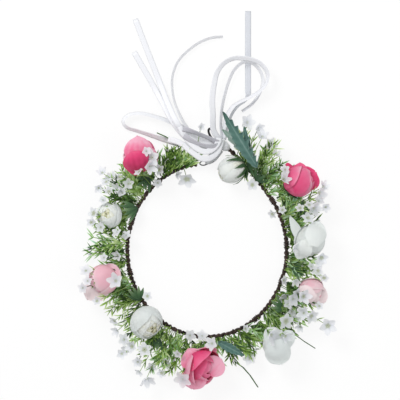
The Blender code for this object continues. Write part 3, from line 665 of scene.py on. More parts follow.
# %% [markdown]
# ## The vine
# The band of the crown is wire wrapped in brown paper, two strands twisted tightly. A bevelled curve is the
# plain way to make a tube. Each of a strand's points has its own thickness and stands a little off its
# line, which makes the knobbly bark. At every flower a thinner wire is wound round the band to hold the
# stem.

# %% Tubes
def tube(name, points, thickness, radii=None, closed=False):
    """A round tube along points, as a mesh whose tone changes from vertex to vertex."""
    rng = random.Random(name)
    curve = bpy.data.curves.new(name, "CURVE")
    curve.dimensions = "3D"
    curve.bevel_depth = thickness / 2
    curve.bevel_resolution = 2
    curve.use_fill_caps = True
    line = curve.splines.new("POLY")
    line.points.add(len(points) - 1)
    line.use_cyclic_u = closed
    for index, spot in enumerate(points):
        line.points[index].co = (*spot, 1)
        line.points[index].radius = radii[index] if radii else 1.0
    made = bpy.data.objects.new(name, curve)
    bpy.context.scene.collection.objects.link(made)
    select_only(made)
    bpy.ops.object.convert(target="MESH")
    made = bpy.context.object
    for shade in new_tones(made):
        shade.color = (0.1 + 0.6 * rng.random(), 0.5, 0, 1)
    return made


# %% Strands
TWISTS, POINTS_PER_TWIST = 52, 9
STRAND_THICKNESS = 0.0029
# the least a strand stands off the band's line, and what chance adds
STRAND_LAY, LAY_CHANCE = 0.0009, 0.0006
for name, phase, node in (("vine_a", 0.0, "vine_strand_a"), ("vine_b", math.pi, "vine_strand_b")):
    rng = random.Random(name)
    line, radii = [], []
    for index in range(TWISTS * POINTS_PER_TWIST + 1):
        part = index / (TWISTS * POINTS_PER_TWIST)
        middle, _, outward = band_frame(LEFT_END + (RIGHT_END - LEFT_END) * part)
        turn = phase + 2 * math.pi * index / POINTS_PER_TWIST
        lay = STRAND_LAY + LAY_CHANCE * rng.random()
        line.append(middle + lay * (math.cos(turn) * outward + math.sin(turn) * UP))
        radii.append(0.65 + 0.65 * rng.random())
    dressed(tube(name, line, STRAND_THICKNESS, radii), BARK, "band", "vine", node)
    print(name, len(line), "points")

# %% Windings
WINDING_TURNS, POINTS_PER_TURN = 4, 8
WINDING_LENGTH, WINDING_RADIUS, WINDING_CHANCE, WINDING_WIRE = 0.0070, 0.0026, 0.0003, 0.0011
WINDING_STEPS = WINDING_TURNS * POINTS_PER_TURN
for flower in FLOWERS:
    rng = random.Random("winding " + flower.name)
    middle, along, outward = band_frame(flower.angle)
    line = []
    for index in range(WINDING_STEPS + 1):
        turn = 2 * math.pi * index / POINTS_PER_TURN
        wide = WINDING_RADIUS + WINDING_CHANCE * rng.random()
        line.append(middle + along * (index / WINDING_STEPS - 0.5) * WINDING_LENGTH
                    + wide * (math.cos(turn) * outward + math.sin(turn) * UP))
    winding = tube("winding_" + flower.name, line, WINDING_WIRE)
    dressed(winding, BARK, "band", "green_tape", "binding_" + flower.name)
print("windings", len(FLOWERS))

# %% End loops
# side, which way the loop's long axis points in degrees, half its length and width, its wire, and how far it
# is moved from its solid's middle
END_LOOPS = [("right", 120, 0.0072, 0.0029, 0.0024, Vector((0.0025, 0.001, 0))),
             ("left", 10, 0.0046, 0.0024, 0.0012, Vector())]
LOOP_POINTS = 32


def middle_of(node):
    """The middle of a solid's box."""
    low, high = (Vector(corner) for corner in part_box(node))
    return (low + high) / 2


for side, lean, half_long, half_short, wire, offset in END_LOOPS:
    long_way = Vector((math.cos(math.radians(lean)), math.sin(math.radians(lean)), 0))
    short_way = long_way.cross(UP)
    centre = middle_of("end_loop_" + side) + offset
    line = []
    for index in range(LOOP_POINTS):
        turn = index * math.pi / (LOOP_POINTS / 2)
        line.append(centre + long_way * half_long * math.cos(turn) + short_way * half_short * math.sin(turn))
    eyelet = tube("eyelet_" + side, line, wire, closed=True)
    dressed(eyelet, WIRE, "band", "dark_wire", "end_loop_" + side)
print("end loops", len(END_LOOPS))

# %% [markdown]
# ## Ribbon
# The bow is quarter-inch white satin. A ribbon keeps its width and only bends and rolls, so each stretch is
# a strip along a smooth line, and every point of the line says how far the strip is rolled: 0 lies flat, 90
# stands on its edge. The lines are the CAD model's own. Where a strip stands on edge, real satin leans over
# a little.

# %% A satin strip
RIBBON_WIDTH, SATIN_WALL = 0.00635, 0.00012


def smooth_line(points, samples):
    """A Catmull-Rom line through x, y, z and roll."""
    line = []
    last = len(points) - 1
    for index in range(last):
        corners = points[max(index - 1, 0)], points[index], points[index + 1], points[min(index + 2, last)]
        for step in range(samples):
            t = step / samples
            line.append([0.5 * (2 * b + (c - a) * t + (2 * a - 5 * b + 4 * c - d) * t * t
                                + (3 * b - a - 3 * c + d) * t ** 3) for a, b, c, d in zip(*corners)])
    line.append(list(points[last]))
    return line


def strip(name, route, samples, ease=1.0):
    """A satin strip, and its middle line. ease below 1 lets an upright stretch lean over."""
    line = smooth_line(route, samples)
    last = len(line) - 1
    made = named(new_grid(last, 4), name)
    for loop, uv in zip(made.data.loops, made.data.uv_layers[0].data):
        flat = made.data.vertices[loop.vertex_index].co
        uv.uv = ((flat.x + 1) / 2 * last, (flat.y + 1) / 2)
    for v in made.data.vertices:
        index = round((v.co.x + 1) / 2 * last)
        ahead = Vector(line[min(index + 1, last)][:3]) - Vector(line[max(index - 1, 0)][:3])
        level = UP.cross(ahead).normalized()
        upright = ahead.normalized().cross(level)
        roll = math.radians(line[index][3] * (1 - (1 - ease) * (line[index][3] / 90) ** 2))
        across = level * math.cos(roll) + upright * math.sin(roll)
        v.co = Vector(line[index][:3]) + SHIFT + across * (RIBBON_WIDTH / 2) * v.co.y
    return thickened(made, SATIN_WALL), [Vector(point[:3]) + SHIFT for point in line]


# %% Where the knot is
KNOT_RADIUS, KNOT_LENGTH = 0.0054, 0.016
KNOT_ANGLE, KNOT_LIFT, KNOT_GAP = 441.0, 0.0009, 0.0006
knot_middle, knot_along, knot_outward = band_frame(KNOT_ANGLE)
knot_centre = knot_middle + UP * KNOT_LIFT


def knot_exit(target, height, roll=0):
    """Where a ribbon that heads for a place leaves the knot."""
    upright = RIBBON_WIDTH / 2 * math.sin(math.radians(roll))
    nearest = min(max(knot_centre.z, height - upright), height + upright)
    aim = Vector((target[0] + SHIFT.x - knot_centre.x, target[1] + SHIFT.y - knot_centre.y, 0)).normalized()
    rest = 1 - ((nearest - knot_centre.z) / KNOT_RADIUS) ** 2
    per = math.hypot(aim.dot(knot_along) / (KNOT_LENGTH / 2), aim.dot(knot_outward) / KNOT_RADIUS)
    leave = knot_centre - SHIFT + aim * (math.sqrt(max(rest, 0.0)) / per + KNOT_GAP)
    return leave.x, leave.y, height


def from_knot(height, roll, points):
    """A line that starts on the knot."""
    return [(*knot_exit(points[0], height, roll), roll)] + points


print("knot at", [round(value, 4) for value in knot_centre])

# %% The ribbons' lines
# each point: x, y, z and roll
LOOP_LEFT = from_knot(0.0090, 0, [
    (-0.002, 0.1165, 0.0088, 8), (-0.014, 0.1250, 0.0078, 14), (-0.026, 0.1320, 0.0072, 25),
    (-0.040, 0.1385, 0.0078, 45), (-0.056, 0.1440, 0.0082, 60), (-0.072, 0.1475, 0.0080, 70),
    (-0.085, 0.1455, 0.0078, 80), (-0.0905, 0.1385, 0.0076, 85), (-0.086, 0.1320, 0.0074, 80),
    (-0.074, 0.1280, 0.0072, 70), (-0.060, 0.1235, 0.0070, 50), (-0.046, 0.1190, 0.0068, 30),
    (-0.032, 0.1150, 0.0066, 12), (-0.016, 0.1115, 0.0072, 4), (-0.004, 0.1095, 0.0080, 0)])
LOOP_LEFT.append((*knot_exit((-0.004, 0.1095), 0.0082), 0))
LOOP_RIGHT = from_knot(0.0084, 6, [
    (0.0070, 0.1290, 0.0094, 8), (0.0063, 0.1460, 0.0112, 10), (0.0057, 0.1620, 0.0125, 14),
    (0.0076, 0.1780, 0.0132, 22), (0.0113, 0.1920, 0.0136, 35), (0.0195, 0.2020, 0.0138, 45),
    (0.0292, 0.2063, 0.0138, 48), (0.0389, 0.2063, 0.0138, 46), (0.0486, 0.2047, 0.0138, 45),
    (0.0572, 0.2009, 0.0138, 52), (0.0637, 0.1933, 0.0136, 60), (0.0653, 0.1858, 0.0134, 68),
    (0.0621, 0.1771, 0.0132, 78), (0.0551, 0.1701, 0.0130, 86), (0.0454, 0.1642, 0.0126, 90),
    (0.0356, 0.1598, 0.0122, 90), (0.0270, 0.1540, 0.0116, 90), (0.0213, 0.1450, 0.0108, 90),
    (0.0185, 0.1330, 0.0096, 90)])
LOOP_RIGHT.append((*knot_exit((0.0185, 0.1330), 0.0090, 90), 90))
TAIL_RIGHT_CURL = from_knot(0.0082, 90, [
    (0.0150, 0.1330, 0.0074, 90), (0.0156, 0.1490, 0.0052, 90), (0.0184, 0.1642, 0.0044, 90),
    (0.0227, 0.1793, 0.0044, 90), (0.0281, 0.1922, 0.0048, 90), (0.0356, 0.2005, 0.0052, 90),
    (0.0432, 0.2030, 0.0052, 90), (0.0508, 0.2005, 0.0048, 90), (0.0572, 0.1933, 0.0042, 90),
    (0.0603, 0.1836, 0.0040, 90), (0.0589, 0.1750, 0.0039, 90), (0.0545, 0.1652, 0.0038, 90),
    (0.0475, 0.1566, 0.0038, 90), (0.0378, 0.1496, 0.0038, 90)])
TAIL_STRAIGHT = from_knot(0.0050, 90, [
    (0.0215, 0.1290, 0.0046, 90), (0.0262, 0.1450, 0.0042, 90), (0.0335, 0.1556, 0.0040, 90),
    (0.0405, 0.1605, 0.0038, 82), (0.0440, 0.1665, 0.0026, 40), (0.0443, 0.1750, 0.0006, 0),
    (0.0443, 0.2050, 0.0005, 0), (0.0443, 0.2320, 0.0005, 0), (0.0443, 0.2580, 0.0005, 0)])
TAIL_LEFT_CURL = from_knot(0.0097, 0, [
    (-0.003, 0.1135, 0.0096, 2), (-0.014, 0.1215, 0.0096, 8), (-0.0225, 0.1330, 0.0115, 60),
    (-0.0295, 0.1460, 0.0115, 80), (-0.0355, 0.1620, 0.0080, 90), (-0.0378, 0.1800, 0.0048, 90),
    (-0.0355, 0.1940, 0.0040, 90), (-0.0300, 0.2050, 0.0038, 90), (-0.0205, 0.2150, 0.0038, 90),
    (-0.0076, 0.2241, 0.0038, 90), (0.0054, 0.2290, 0.0038, 90), (0.0173, 0.2300, 0.0038, 90)])
TAIL_LEFT_SHORT = from_knot(0.0102, 0, [
    (-0.004, 0.1120, 0.0106, 0), (-0.017, 0.1175, 0.0116, 0), (-0.0275, 0.1260, 0.0125, 2),
    (-0.0385, 0.1410, 0.0128, 2), (-0.0480, 0.1590, 0.0062, 0), (-0.0550, 0.1720, 0.0014, 0),
    (-0.0636, 0.1875, 0.0005, 0), (-0.0788, 0.2138, 0.0005, 0)])
TAIL_LEFT_LONG = from_knot(0.0108, 0, [
    (-0.003, 0.1130, 0.0118, 0), (-0.016, 0.1185, 0.0134, 0), (-0.0255, 0.1275, 0.0146, 2),
    (-0.0345, 0.1410, 0.0148, 2), (-0.0430, 0.1600, 0.0084, 0), (-0.0480, 0.1730, 0.0034, 0),
    (-0.0529, 0.1858, 0.0010, 0), (-0.0648, 0.2160, 0.0005, 0), (-0.0775, 0.2495, 0.0005, 0)])
print("points of the bow loops", len(LOOP_LEFT), len(LOOP_RIGHT))

# %% Loops and tails
# node, line, how its far end finishes, how it lies, how much of their roll its upright stretches keep, finish
RIBBONS = [
    ("ribbon_loop_left", LOOP_LEFT, "object", "hanging", 0.62, SATIN),
    ("ribbon_loop_right", LOOP_RIGHT, "object", "hanging", 0.62, SATIN),
    ("ribbon_tail_right_curl", TAIL_RIGHT_CURL, "bare", "loose", 0.66, SATIN),
    ("ribbon_tail_straight", TAIL_STRAIGHT, "bare", "loose", 0.7, SATIN_SHADE),
    ("ribbon_tail_left_curl", TAIL_LEFT_CURL, "bare", "loose", 0.74, SATIN),
    ("ribbon_tail_left_short", TAIL_LEFT_SHORT, "bare", "loose", 1.0, SATIN),
    ("ribbon_tail_left_long", TAIL_LEFT_LONG, "bare", "loose", 1.0, SATIN),
]
for node, route, far_end, lay, ease, material in RIBBONS:
    ribbon, line = strip(node + "_satin", route, 6, ease)
    dressed(ribbon, material, "band", "white_satin", node)

# %% [markdown]
# The knot is a gathered lump of satin round the band's right end. A sphere is drawn out along the band and
# its skin pressed into folds that wind along it. Two short stretches tie it through the left end loop.

# %% Knot
FOLDS, FOLD_DEPTH, FOLD_TWIST = 7, 0.09, 5
deselect_all()
bpy.ops.mesh.primitive_uv_sphere_add(segments=48, ring_count=24, radius=1.0)
knot = named(bpy.context.object, "knot_satin")
turned = Matrix((knot_along.cross(UP), UP, -knot_along)).transposed()
for v in knot.data.vertices:
    turn = math.atan2(v.co.y, v.co.x)
    wave = 0.5 + 0.5 * math.sin(FOLDS * turn + FOLD_TWIST * v.co.z)
    fold = 1 - FOLD_DEPTH * wave * (1 - abs(v.co.z) ** 3)
    spot = Vector((v.co.x * KNOT_RADIUS * fold, v.co.y * KNOT_RADIUS * fold, v.co.z * KNOT_LENGTH / 2))
    v.co = knot_centre + turned @ spot
dressed(knot, SATIN, "band", "white_satin", "ribbon_knot")
print("knot faces", len(knot.data.polygons))

# %% Tie
eye, hold = middle_of("end_loop_left") - SHIFT, knot_centre - SHIFT
TIES = [("tie_upper", [(hold.x - 0.004, hold.y - 0.003, 0.0085, 0),
                       (hold.x - 0.012, hold.y - 0.010, 0.0075, 8),
                       (eye.x + 0.006, eye.y + 0.004, 0.0068, 0), (eye.x + 0.001, eye.y + 0.001, 0.0058, 0)],
         ["ribbon_tie"]),
        ("tie_lower", [(hold.x - 0.003, hold.y - 0.005, 0.0030, 0),
                       (hold.x - 0.010, hold.y - 0.014, 0.0028, -10),
                       (eye.x + 0.006, eye.y + 0.002, 0.0034, 0), (eye.x + 0.001, eye.y + 0.001, 0.0040, 0)],
         [])]
for name, route, nodes in TIES:
    dressed(strip(name, route, 8)[0], SATIN, "band", "white_satin", *nodes)
print("ties", len(TIES))

# %% [markdown]
# Two more turns of ribbon sag across the gap, from the gathered tails on the left round to the knot, and
# two folds are painted a darker grey, as painted shade on the ribbon there.

# %% Sagging turns and folds
# each point: place in the photograph, height and roll
SAGS = [
    ("sag_outer", SATIN, [(168, 139.5, 0.0125, 0), (180, 143, 0.0150, 0), (191, 151.5, 0.0165, 4),
                          (201, 158.5, 0.0165, 8), (210, 158.5, 0.0160, 6), (217, 152.5, 0.0150, 0),
                          (220.5, 144, 0.0135, 0), (220.5, 140, 0.0118, 0)]),
    ("sag_inner", SATIN, [(180, 127, 0.0185, 0), (186, 138, 0.0185, 0), (195, 147.5, 0.0180, 0),
                          (205, 152, 0.0178, 0), (213, 149, 0.0165, 0), (218, 143, 0.0150, 0),
                          (219, 138, 0.0130, 0)]),
    # the folds carry the satin painted darker grey as shade
    ("fold_upper", SATIN_FOLD_SHADE, [(183, 129, 0.0200, 10), (192, 132, 0.0200, 40), (203, 136, 0.0180, 48),
                                (212, 140, 0.0160, 40), (218, 143.5, 0.0140, 10)]),
    ("fold_lower", SATIN_FOLD_SHADE, [(184, 136, 0.0200, 10), (193, 142, 0.0200, 40), (203, 146, 0.0195, 45),
                                (212, 147, 0.0180, 35), (218, 146, 0.0150, 10)]),
]
for name, material, spots in SAGS:
    sag, line = strip(name, [(*(pixel(x, y, z) - SHIFT), roll) for x, y, z, roll in spots], 8)
    dressed(sag, material, "band", "white_satin")

# %% [markdown]
# ## Leaves
# A leaf is a grid as well. Its outline is a width along its length, cut back by teeth, its midrib is
# pressed in and its veins ripple. The felted grey-green leaf has its deep teeth on one side, a small lobe,
# and a paler underside that shows beside it.

# %% One leaf
LEAF_WALL = 0.0003


def leaf(name, base, tip, width, teeth, bite, left_bite):
    """left_bite says how much of the bite the left edge gets."""
    length, forward = (tip - base).length, (tip - base).normalized()
    level = forward.cross(UP).normalized()
    upright = level.cross(forward)
    blade = named(new_grid(10, teeth * 8), name)
    for v, shade in toned(blade):
        along, across = (v.co.y + 1) / 2, v.co.x
        tooth = 1 - (along ** 0.85 * teeth + 0.12 * math.sin(along * 9)) % 1.0
        cut = bite * tooth * abs(across) ** 1.5 * (left_bite if across < 0 else 1.0)
        half = width / 2 * max(0.02, math.sin(math.pi * along ** 0.78)) ** 0.75 * (1 - cut)
        rib = math.exp(-(across * 6) ** 2)
        vein = abs(math.sin((along * teeth - abs(across) * 0.9) * math.pi))
        push = 0.11 * width * (across ** 2 - 0.3 * rib) + 0.0006 * vein * abs(across)
        push += 0.06 * length * math.sin(along * 2.6)
        v.co = base + forward * along * length + level * across * half + upright * push
        shade.color = (0.35 + 0.3 * abs(across) ** 3 + 0.3 * rib - 0.25 * (1 - vein) * (1 - rib), 0.5, 0, 1)
    return thickened(blade, LEAF_WALL)


# %% Build the leaves
# name, foot, tip, width, number of teeth, bite and the left edge's share of it, finish, slot, solids it
# stands for
LEAVES = [
    ("toothed_blade", pixel(257, 168, 0.0245), pixel(222.5, 112.5, 0.0285), 0.0165, 8, 0.8, 0.3,
     FELT, "grey_green_leaf", ["toothed_leaf"]),
    ("toothed_lobe", pixel(250, 157, 0.0240), pixel(243.5, 127, 0.0260), 0.0080, 3, 0.45, 1.0,
     FELT, "grey_green_leaf", []),
    ("toothed_underside", pixel(255, 160, 0.0220), pixel(222, 130, 0.0240), 0.0125, 5, 0.35, 1.0,
     UNDERSIDE, "grey_green_leaf", []),
    ("dark_blade", Vector((0.0120, -0.0985, 0.0150)) + SHIFT, Vector((0.0400, -0.1130, 0.0180)) + SHIFT,
     0.0105, 6, 0.25, 1.0, FELT, "dark_leaf", ["dark_leaf"]),
]
for *shape, material, slot, nodes in LEAVES:
    dressed(leaf(*shape), material, "band", slot, *nodes)
print("leaves", len(LEAVES))

# %% [markdown]
# ## Needles
# The greenery is sprigs of moulded needles, thousands in all. Needle, stick, bud and star are each modelled
# once, with few faces, and stamped many times into one mesh per spray. A particle system would do it too,
# but a stamp gives each copy its own tone, and gives plain mesh at once.

# %% Things to stamp
MIDDLE_TONE = 0.5


def pattern_needle():
    """A narrow blade from 0 to 1 along Y, folded along its middle."""
    made = new_grid(2, 3)
    for v, shade in toned(made):
        along = (v.co.y + 1) / 2
        wide = math.sin(math.pi * min(0.97, 0.06 + along * 0.93)) ** 0.8
        shade.color = (0.08 + 0.72 * along, MIDDLE_TONE, 0, 1)
        v.co = (v.co.x * 0.5 * wide, along, 0.18 * (1 - abs(v.co.x)) * wide)
    return made


def pattern_stick():
    """A thin tapered stick from 0 to 1 along Y."""
    deselect_all()
    bpy.ops.mesh.primitive_cone_add(vertices=5, radius1=0.5, radius2=0.42, depth=1.0)
    made = bpy.context.object
    made.data.transform(Matrix.Translation((0, 0.5, 0)) @ Matrix.Rotation(-math.pi / 2, 4, "X"))
    for shade in new_tones(made):
        shade.color = (0.4, MIDDLE_TONE, 0, 1)
    return made


def pattern_bud():
    """A small closed bud, 1 long, on Y."""
    deselect_all()
    bpy.ops.mesh.primitive_uv_sphere_add(segments=6, ring_count=4, radius=0.5)
    made = bpy.context.object
    made.data.transform(Matrix.Translation((0, 0.45, 0)) @ Matrix.Diagonal((0.75, 1.0, 0.75, 1)))
    for v, shade in zip(made.data.vertices, new_tones(made)):
        shade.color = (0.15 + 0.85 * v.co.y, MIDDLE_TONE, 0, 1)
    return made


def pattern_star(cup):
    """Five petals round Z, 1 across, raised at their rims by cup."""
    petals = []
    for index in range(5):
        made = new_grid(2, 3)
        for v, shade in toned(made):
            along = (v.co.y + 1) / 2
            wide = 0.38 * math.sin(math.pi * (0.08 + 0.79 * along)) ** 0.75
            shade.color = (along, MIDDLE_TONE, 0, 1)
            out = 0.04 + (0.98 - 0.13 * v.co.x ** 2) * along
            v.co = (v.co.x * wide * 0.5, out * 0.5, cup * 0.5 * along ** 1.5 + 0.03 * v.co.x ** 2)
        made.data.transform(Matrix.Rotation(index * 2 * math.pi / 5 + 0.1 * math.sin(index * 7), 4, "Z"))
        petals.append(made)
    return joined(petals, "pattern_star")


def as_pattern(made):
    """Keeps the mesh and takes the object away, because only its copies are shown."""
    mesh = made.data
    bpy.data.objects.remove(made)
    return mesh


NEEDLE_MESH = as_pattern(pattern_needle())
STICK_MESH = as_pattern(pattern_stick())
BUD_MESH = as_pattern(pattern_bud())
STAR_MESHES = [as_pattern(pattern_star(cup)) for cup in (0.12, 0.3, 0.75)]
print("faces to stamp", [len(mesh.polygons) for mesh in (NEEDLE_MESH, STICK_MESH, BUD_MESH, *STAR_MESHES)])


# %% Stamping
def stamp(piece, mesh, place, tone, cool=0.0):
    """Adds a copy of a mesh to a growing piece, with its own tone and bluish share."""
    first = len(piece.verts)
    piece.from_mesh(mesh)
    piece.verts.ensure_lookup_table()
    layer = piece.verts.layers.float_color["tone"]
    for v in piece.verts[first:]:
        v.co = place @ v.co
        v[layer] = (v[layer][0], min(1.0, max(0.0, tone)), cool, 1)


def along_y(foot, tip, width, side=None):
    """Puts Y from 0 to 1 on a line from foot to tip, with a width."""
    ahead = tip - foot
    across = ahead.cross(side or UP).normalized()
    over = across.cross(ahead).normalized()
    return Matrix.Translation(foot) @ Matrix((across * width, ahead, over * width)).transposed().to_4x4()


def stem_line(piece, points, width, tone):
    """Sticks from point to point."""
    for low, high in zip(points, points[1:]):
        stamp(piece, STICK_MESH, along_y(low, high, width), tone)


def stamped(name, piece):
    """Makes the grown mesh an object."""
    mesh = bpy.data.meshes.new(name)
    piece.to_mesh(mesh)
    piece.free()
    made = bpy.data.objects.new(name, mesh)
    bpy.context.scene.collection.objects.link(made)
    return made


# %% [markdown]
# A sprig is a bent stem with needles to both sides. Sprigs between the flowers belong to the band. Sprigs
# round a flower's own stem move with that flower, so nothing is torn when a stem is bent.

# %% One sprig
NEEDLE_LENGTHS, NEEDLE_WIDTHS, NEEDLE_SPACING = (0.0065, 0.0135), (0.0011, 0.0021), 0.005
SPRIG_WIDTH = 0.0009
COOL_CHANCE = (-0.8, 1.0)
tips = []


def tone_and_cool(rng):
    """A chance tone, and a bluish share that is often none."""
    return rng.random(), max(0.0, rng.uniform(*COOL_CHANCE))


def needles_on(piece, points, rng, tone, cool, size):
    """Needles to both sides of a stem, near each point after its first."""
    for low, high in zip(points, points[1:]):
        ahead = (high - low).normalized()
        side = ahead.cross(UP).normalized()
        for sway in (-1, 1, rng.choice((-0.4, 0.4)), rng.choice((-0.8, 0.8))):
            out = ahead * 0.8 + side * sway * rng.uniform(0.3, 0.9) + UP * rng.uniform(-0.15, 0.4)
            root = high - ahead * rng.uniform(0, NEEDLE_SPACING)
            tip = root + out.normalized() * size * rng.uniform(*NEEDLE_LENGTHS)
            width = size * rng.uniform(*NEEDLE_WIDTHS)
            place = along_y(root, tip, width, UP + side * rng.uniform(-0.5, 0.5))
            stamp(piece, NEEDLE_MESH, place, tone + rng.uniform(-0.3, 0.3), cool)


def sprig(piece, foot, aim, length, rng, size=1.0, keep_tip=False):
    """A bent stem with needles. Half of the tips that are kept get a bud later."""
    tone, cool = tone_and_cool(rng)
    side = aim.cross(UP).normalized()
    bend = side * rng.uniform(-0.4, 0.4) + UP * rng.uniform(-0.15, 0.2)
    points = [foot + aim * length * t + bend * length * t * t * 0.6 for t in (0, 0.25, 0.5, 0.75, 1.0)]
    stem_line(piece, points, SPRIG_WIDTH, tone)
    needles_on(piece, points, rng, tone, cool, size)
    if keep_tip and rng.random() < 0.5:
        tips.append((points[4], (points[4] - points[3]).normalized()))


# %% Sprays between the flowers
# node, from and to on the band, reach at both ends, number of sprigs, sweep along the band
GAPS = [("spray_1", 99, 123, 0.014, 0.031, 25, -0.9), ("spray_2", 132, 154, 0.040, 0.040, 22, 0.0),
        ("spray_3", 165, 190, 0.038, 0.040, 23, 0.0), ("spray_4", 202, 220, 0.040, 0.030, 22, -0.3),
        ("spray_5", 235, 260, 0.040, 0.048, 24, 0.0), ("spray_6", 273, 299, 0.030, 0.034, 23, 0.3),
        ("spray_7", 311, 331, 0.040, 0.046, 22, 0.0), ("spray_8", 344, 358, 0.034, 0.034, 17, 0.0),
        ("spray_9", 10, 30, 0.036, 0.040, 22, 0.0), ("spray_10", 43, 66, 0.038, 0.050, 25, 0.4)]
for node, low, high, start_reach, end_reach, count, sweep in GAPS:
    rng = random.Random(node)
    piece = bmesh.new()
    for index in range(count):
        part = (index + rng.random()) / count
        middle, along, outward = band_frame(low + (high - low) * part)
        foot = middle + outward * rng.uniform(-0.001, 0.004) + UP * rng.uniform(0.0, 0.004)
        lean = sweep + (part - 0.5) * 0.5 + rng.uniform(-0.6, 0.6)
        aim = outward + along * lean + UP * rng.uniform(0.02, 0.40)
        reach = start_reach + (end_reach - start_reach) * part
        sprig(piece, foot, aim.normalized(), reach * rng.uniform(0.4, 0.95), rng, keep_tip=True)
    dressed(stamped(node + "_needles", piece), NEEDLE, "band", "spray_green", node)
print("sprays", len(GAPS))

# %% Greens round each flower's stem, and buds
SPRIGS_OUTSIDE, SPRIGS_INSIDE = 8, 3
GREENS_SIZE = 0.8
for flower in FLOWERS:
    rng = random.Random("greens " + flower.name)
    middle, along, outward = band_frame(flower.angle)
    outward *= math.copysign(1.0, flower.reach)
    piece = bmesh.new()
    for index in range(SPRIGS_OUTSIDE if flower.reach > 0 else SPRIGS_INSIDE):
        foot = (middle + outward * rng.uniform(0.004, 0.009) + UP * rng.uniform(0.001, 0.004)
                + along * rng.uniform(-0.003, 0.003))
        aim = outward * rng.uniform(0.5, 1.0) + along * rng.uniform(-1.1, 1.1) + UP * rng.uniform(0.0, 0.12)
        sprig(piece, foot, aim.normalized(), abs(flower.reach) * rng.uniform(0.35, 0.6), rng, GREENS_SIZE)
    dressed(stamped(flower.name + "_greens", piece), NEEDLE, flower.name, "spray_green")
BUD_LENGTHS, BUD_WIDTHS = (0.003, 0.0048), (0.0024, 0.0036)
piece = bmesh.new()
rng = random.Random("buds")
for tip, ahead in tips:
    place = along_y(tip, tip + ahead * rng.uniform(*BUD_LENGTHS), rng.uniform(*BUD_WIDTHS))
    stamp(piece, BUD_MESH, place, rng.random())
dressed(stamped("spray_buds", piece), STAR, "band", "white_petal")
print("buds", len(tips))

# %% [markdown]
# Darker leaflets fan out from the stems here and there. A fan is wide needles round one point. Four stems
# are bare: one carries the toothed leaf, and the others end at the crown's edge, as the photograph shows.

# %% Leaf fans
# foot and tip of each fan in the photograph, its height and its number of leaflets
FANS = [(138, 208, 120, 214, 0.016, 6), (247, 163, 258, 176, 0.012, 4), (283, 308, 268, 303, 0.014, 4),
        (160, 338, 152, 350, 0.014, 5), (300, 214, 312, 205, 0.014, 4), (140, 300, 133, 286, 0.014, 5),
        (232, 345, 246, 352, 0.013, 5), (150, 178, 138, 190, 0.014, 4), (292, 268, 306, 272, 0.013, 4),
        (256, 182, 266, 170, 0.012, 4)]
FAN_SPREAD, LEAFLET_WIDTH = 1.5, 0.0042
FAN_STEM_WIDTH, FAN_STEM_ARCH, FAN_STEM_TONE = 0.0011, 0.002, 0.4
rng = random.Random("fans")
piece = bmesh.new()
for foot_x, foot_y, tip_x, tip_y, height, count in FANS:
    foot, reach = pixel(foot_x, foot_y, height), pixel(tip_x, tip_y) - pixel(foot_x, foot_y)
    for index in range(count):
        turned = Matrix.Rotation((index / (count - 1) - 0.5) * FAN_SPREAD, 3, "Z")
        out = turned @ reach * rng.uniform(0.8, 1.05)
        out.z += rng.uniform(-0.001, 0.003)
        place = along_y(foot, foot + out, LEAFLET_WIDTH * rng.uniform(0.8, 1.1))
        stamp(piece, NEEDLE_MESH, place, rng.random())
    root = band_point(band_angle(foot))
    bow = root.lerp(foot, 0.5) + UP * FAN_STEM_ARCH
    stem_line(piece, [root, bow, foot], FAN_STEM_WIDTH, FAN_STEM_TONE)
dressed(stamped("leaf_fans", piece), LEAF, "band", "dark_leaf")
print("fans", len(FANS))

# %% Bare stems
# places in the photograph with heights, width and tone
BARE_STEMS = [
    ([(263, 181, 0.006), (260, 174, 0.012), (256, 166, 0.0240)], 0.0018, 0.2),
    ([(228, 338, 0.007), (233, 360, 0.009), (243, 367, 0.008), (250, 375, 0.007), (258, 387, 0.006)],
     0.0015, 0.2),
    ([(183, 164, 0.006), (177, 143, 0.011), (166, 137, 0.012), (157, 133, 0.011)], 0.0015, 0.8),
    ([(288, 318, 0.007), (293, 333, 0.010), (304, 341, 0.010), (315, 348, 0.009)], 0.0012, 0.2),
]
piece = bmesh.new()
for spots, width, tone in BARE_STEMS:
    stem_line(piece, [pixel(*spot) for spot in spots], width, tone)
dressed(stamped("bare_stems", piece), STEM, "band", "spray_green")
print("bare stems", len(BARE_STEMS))

# %% [markdown]
# ## Star flowers
# Small white flowers stand on thin twigs, about where the photograph shows them. One that lies close to a
# large flower rides on that flower, so that it moves aside with it.

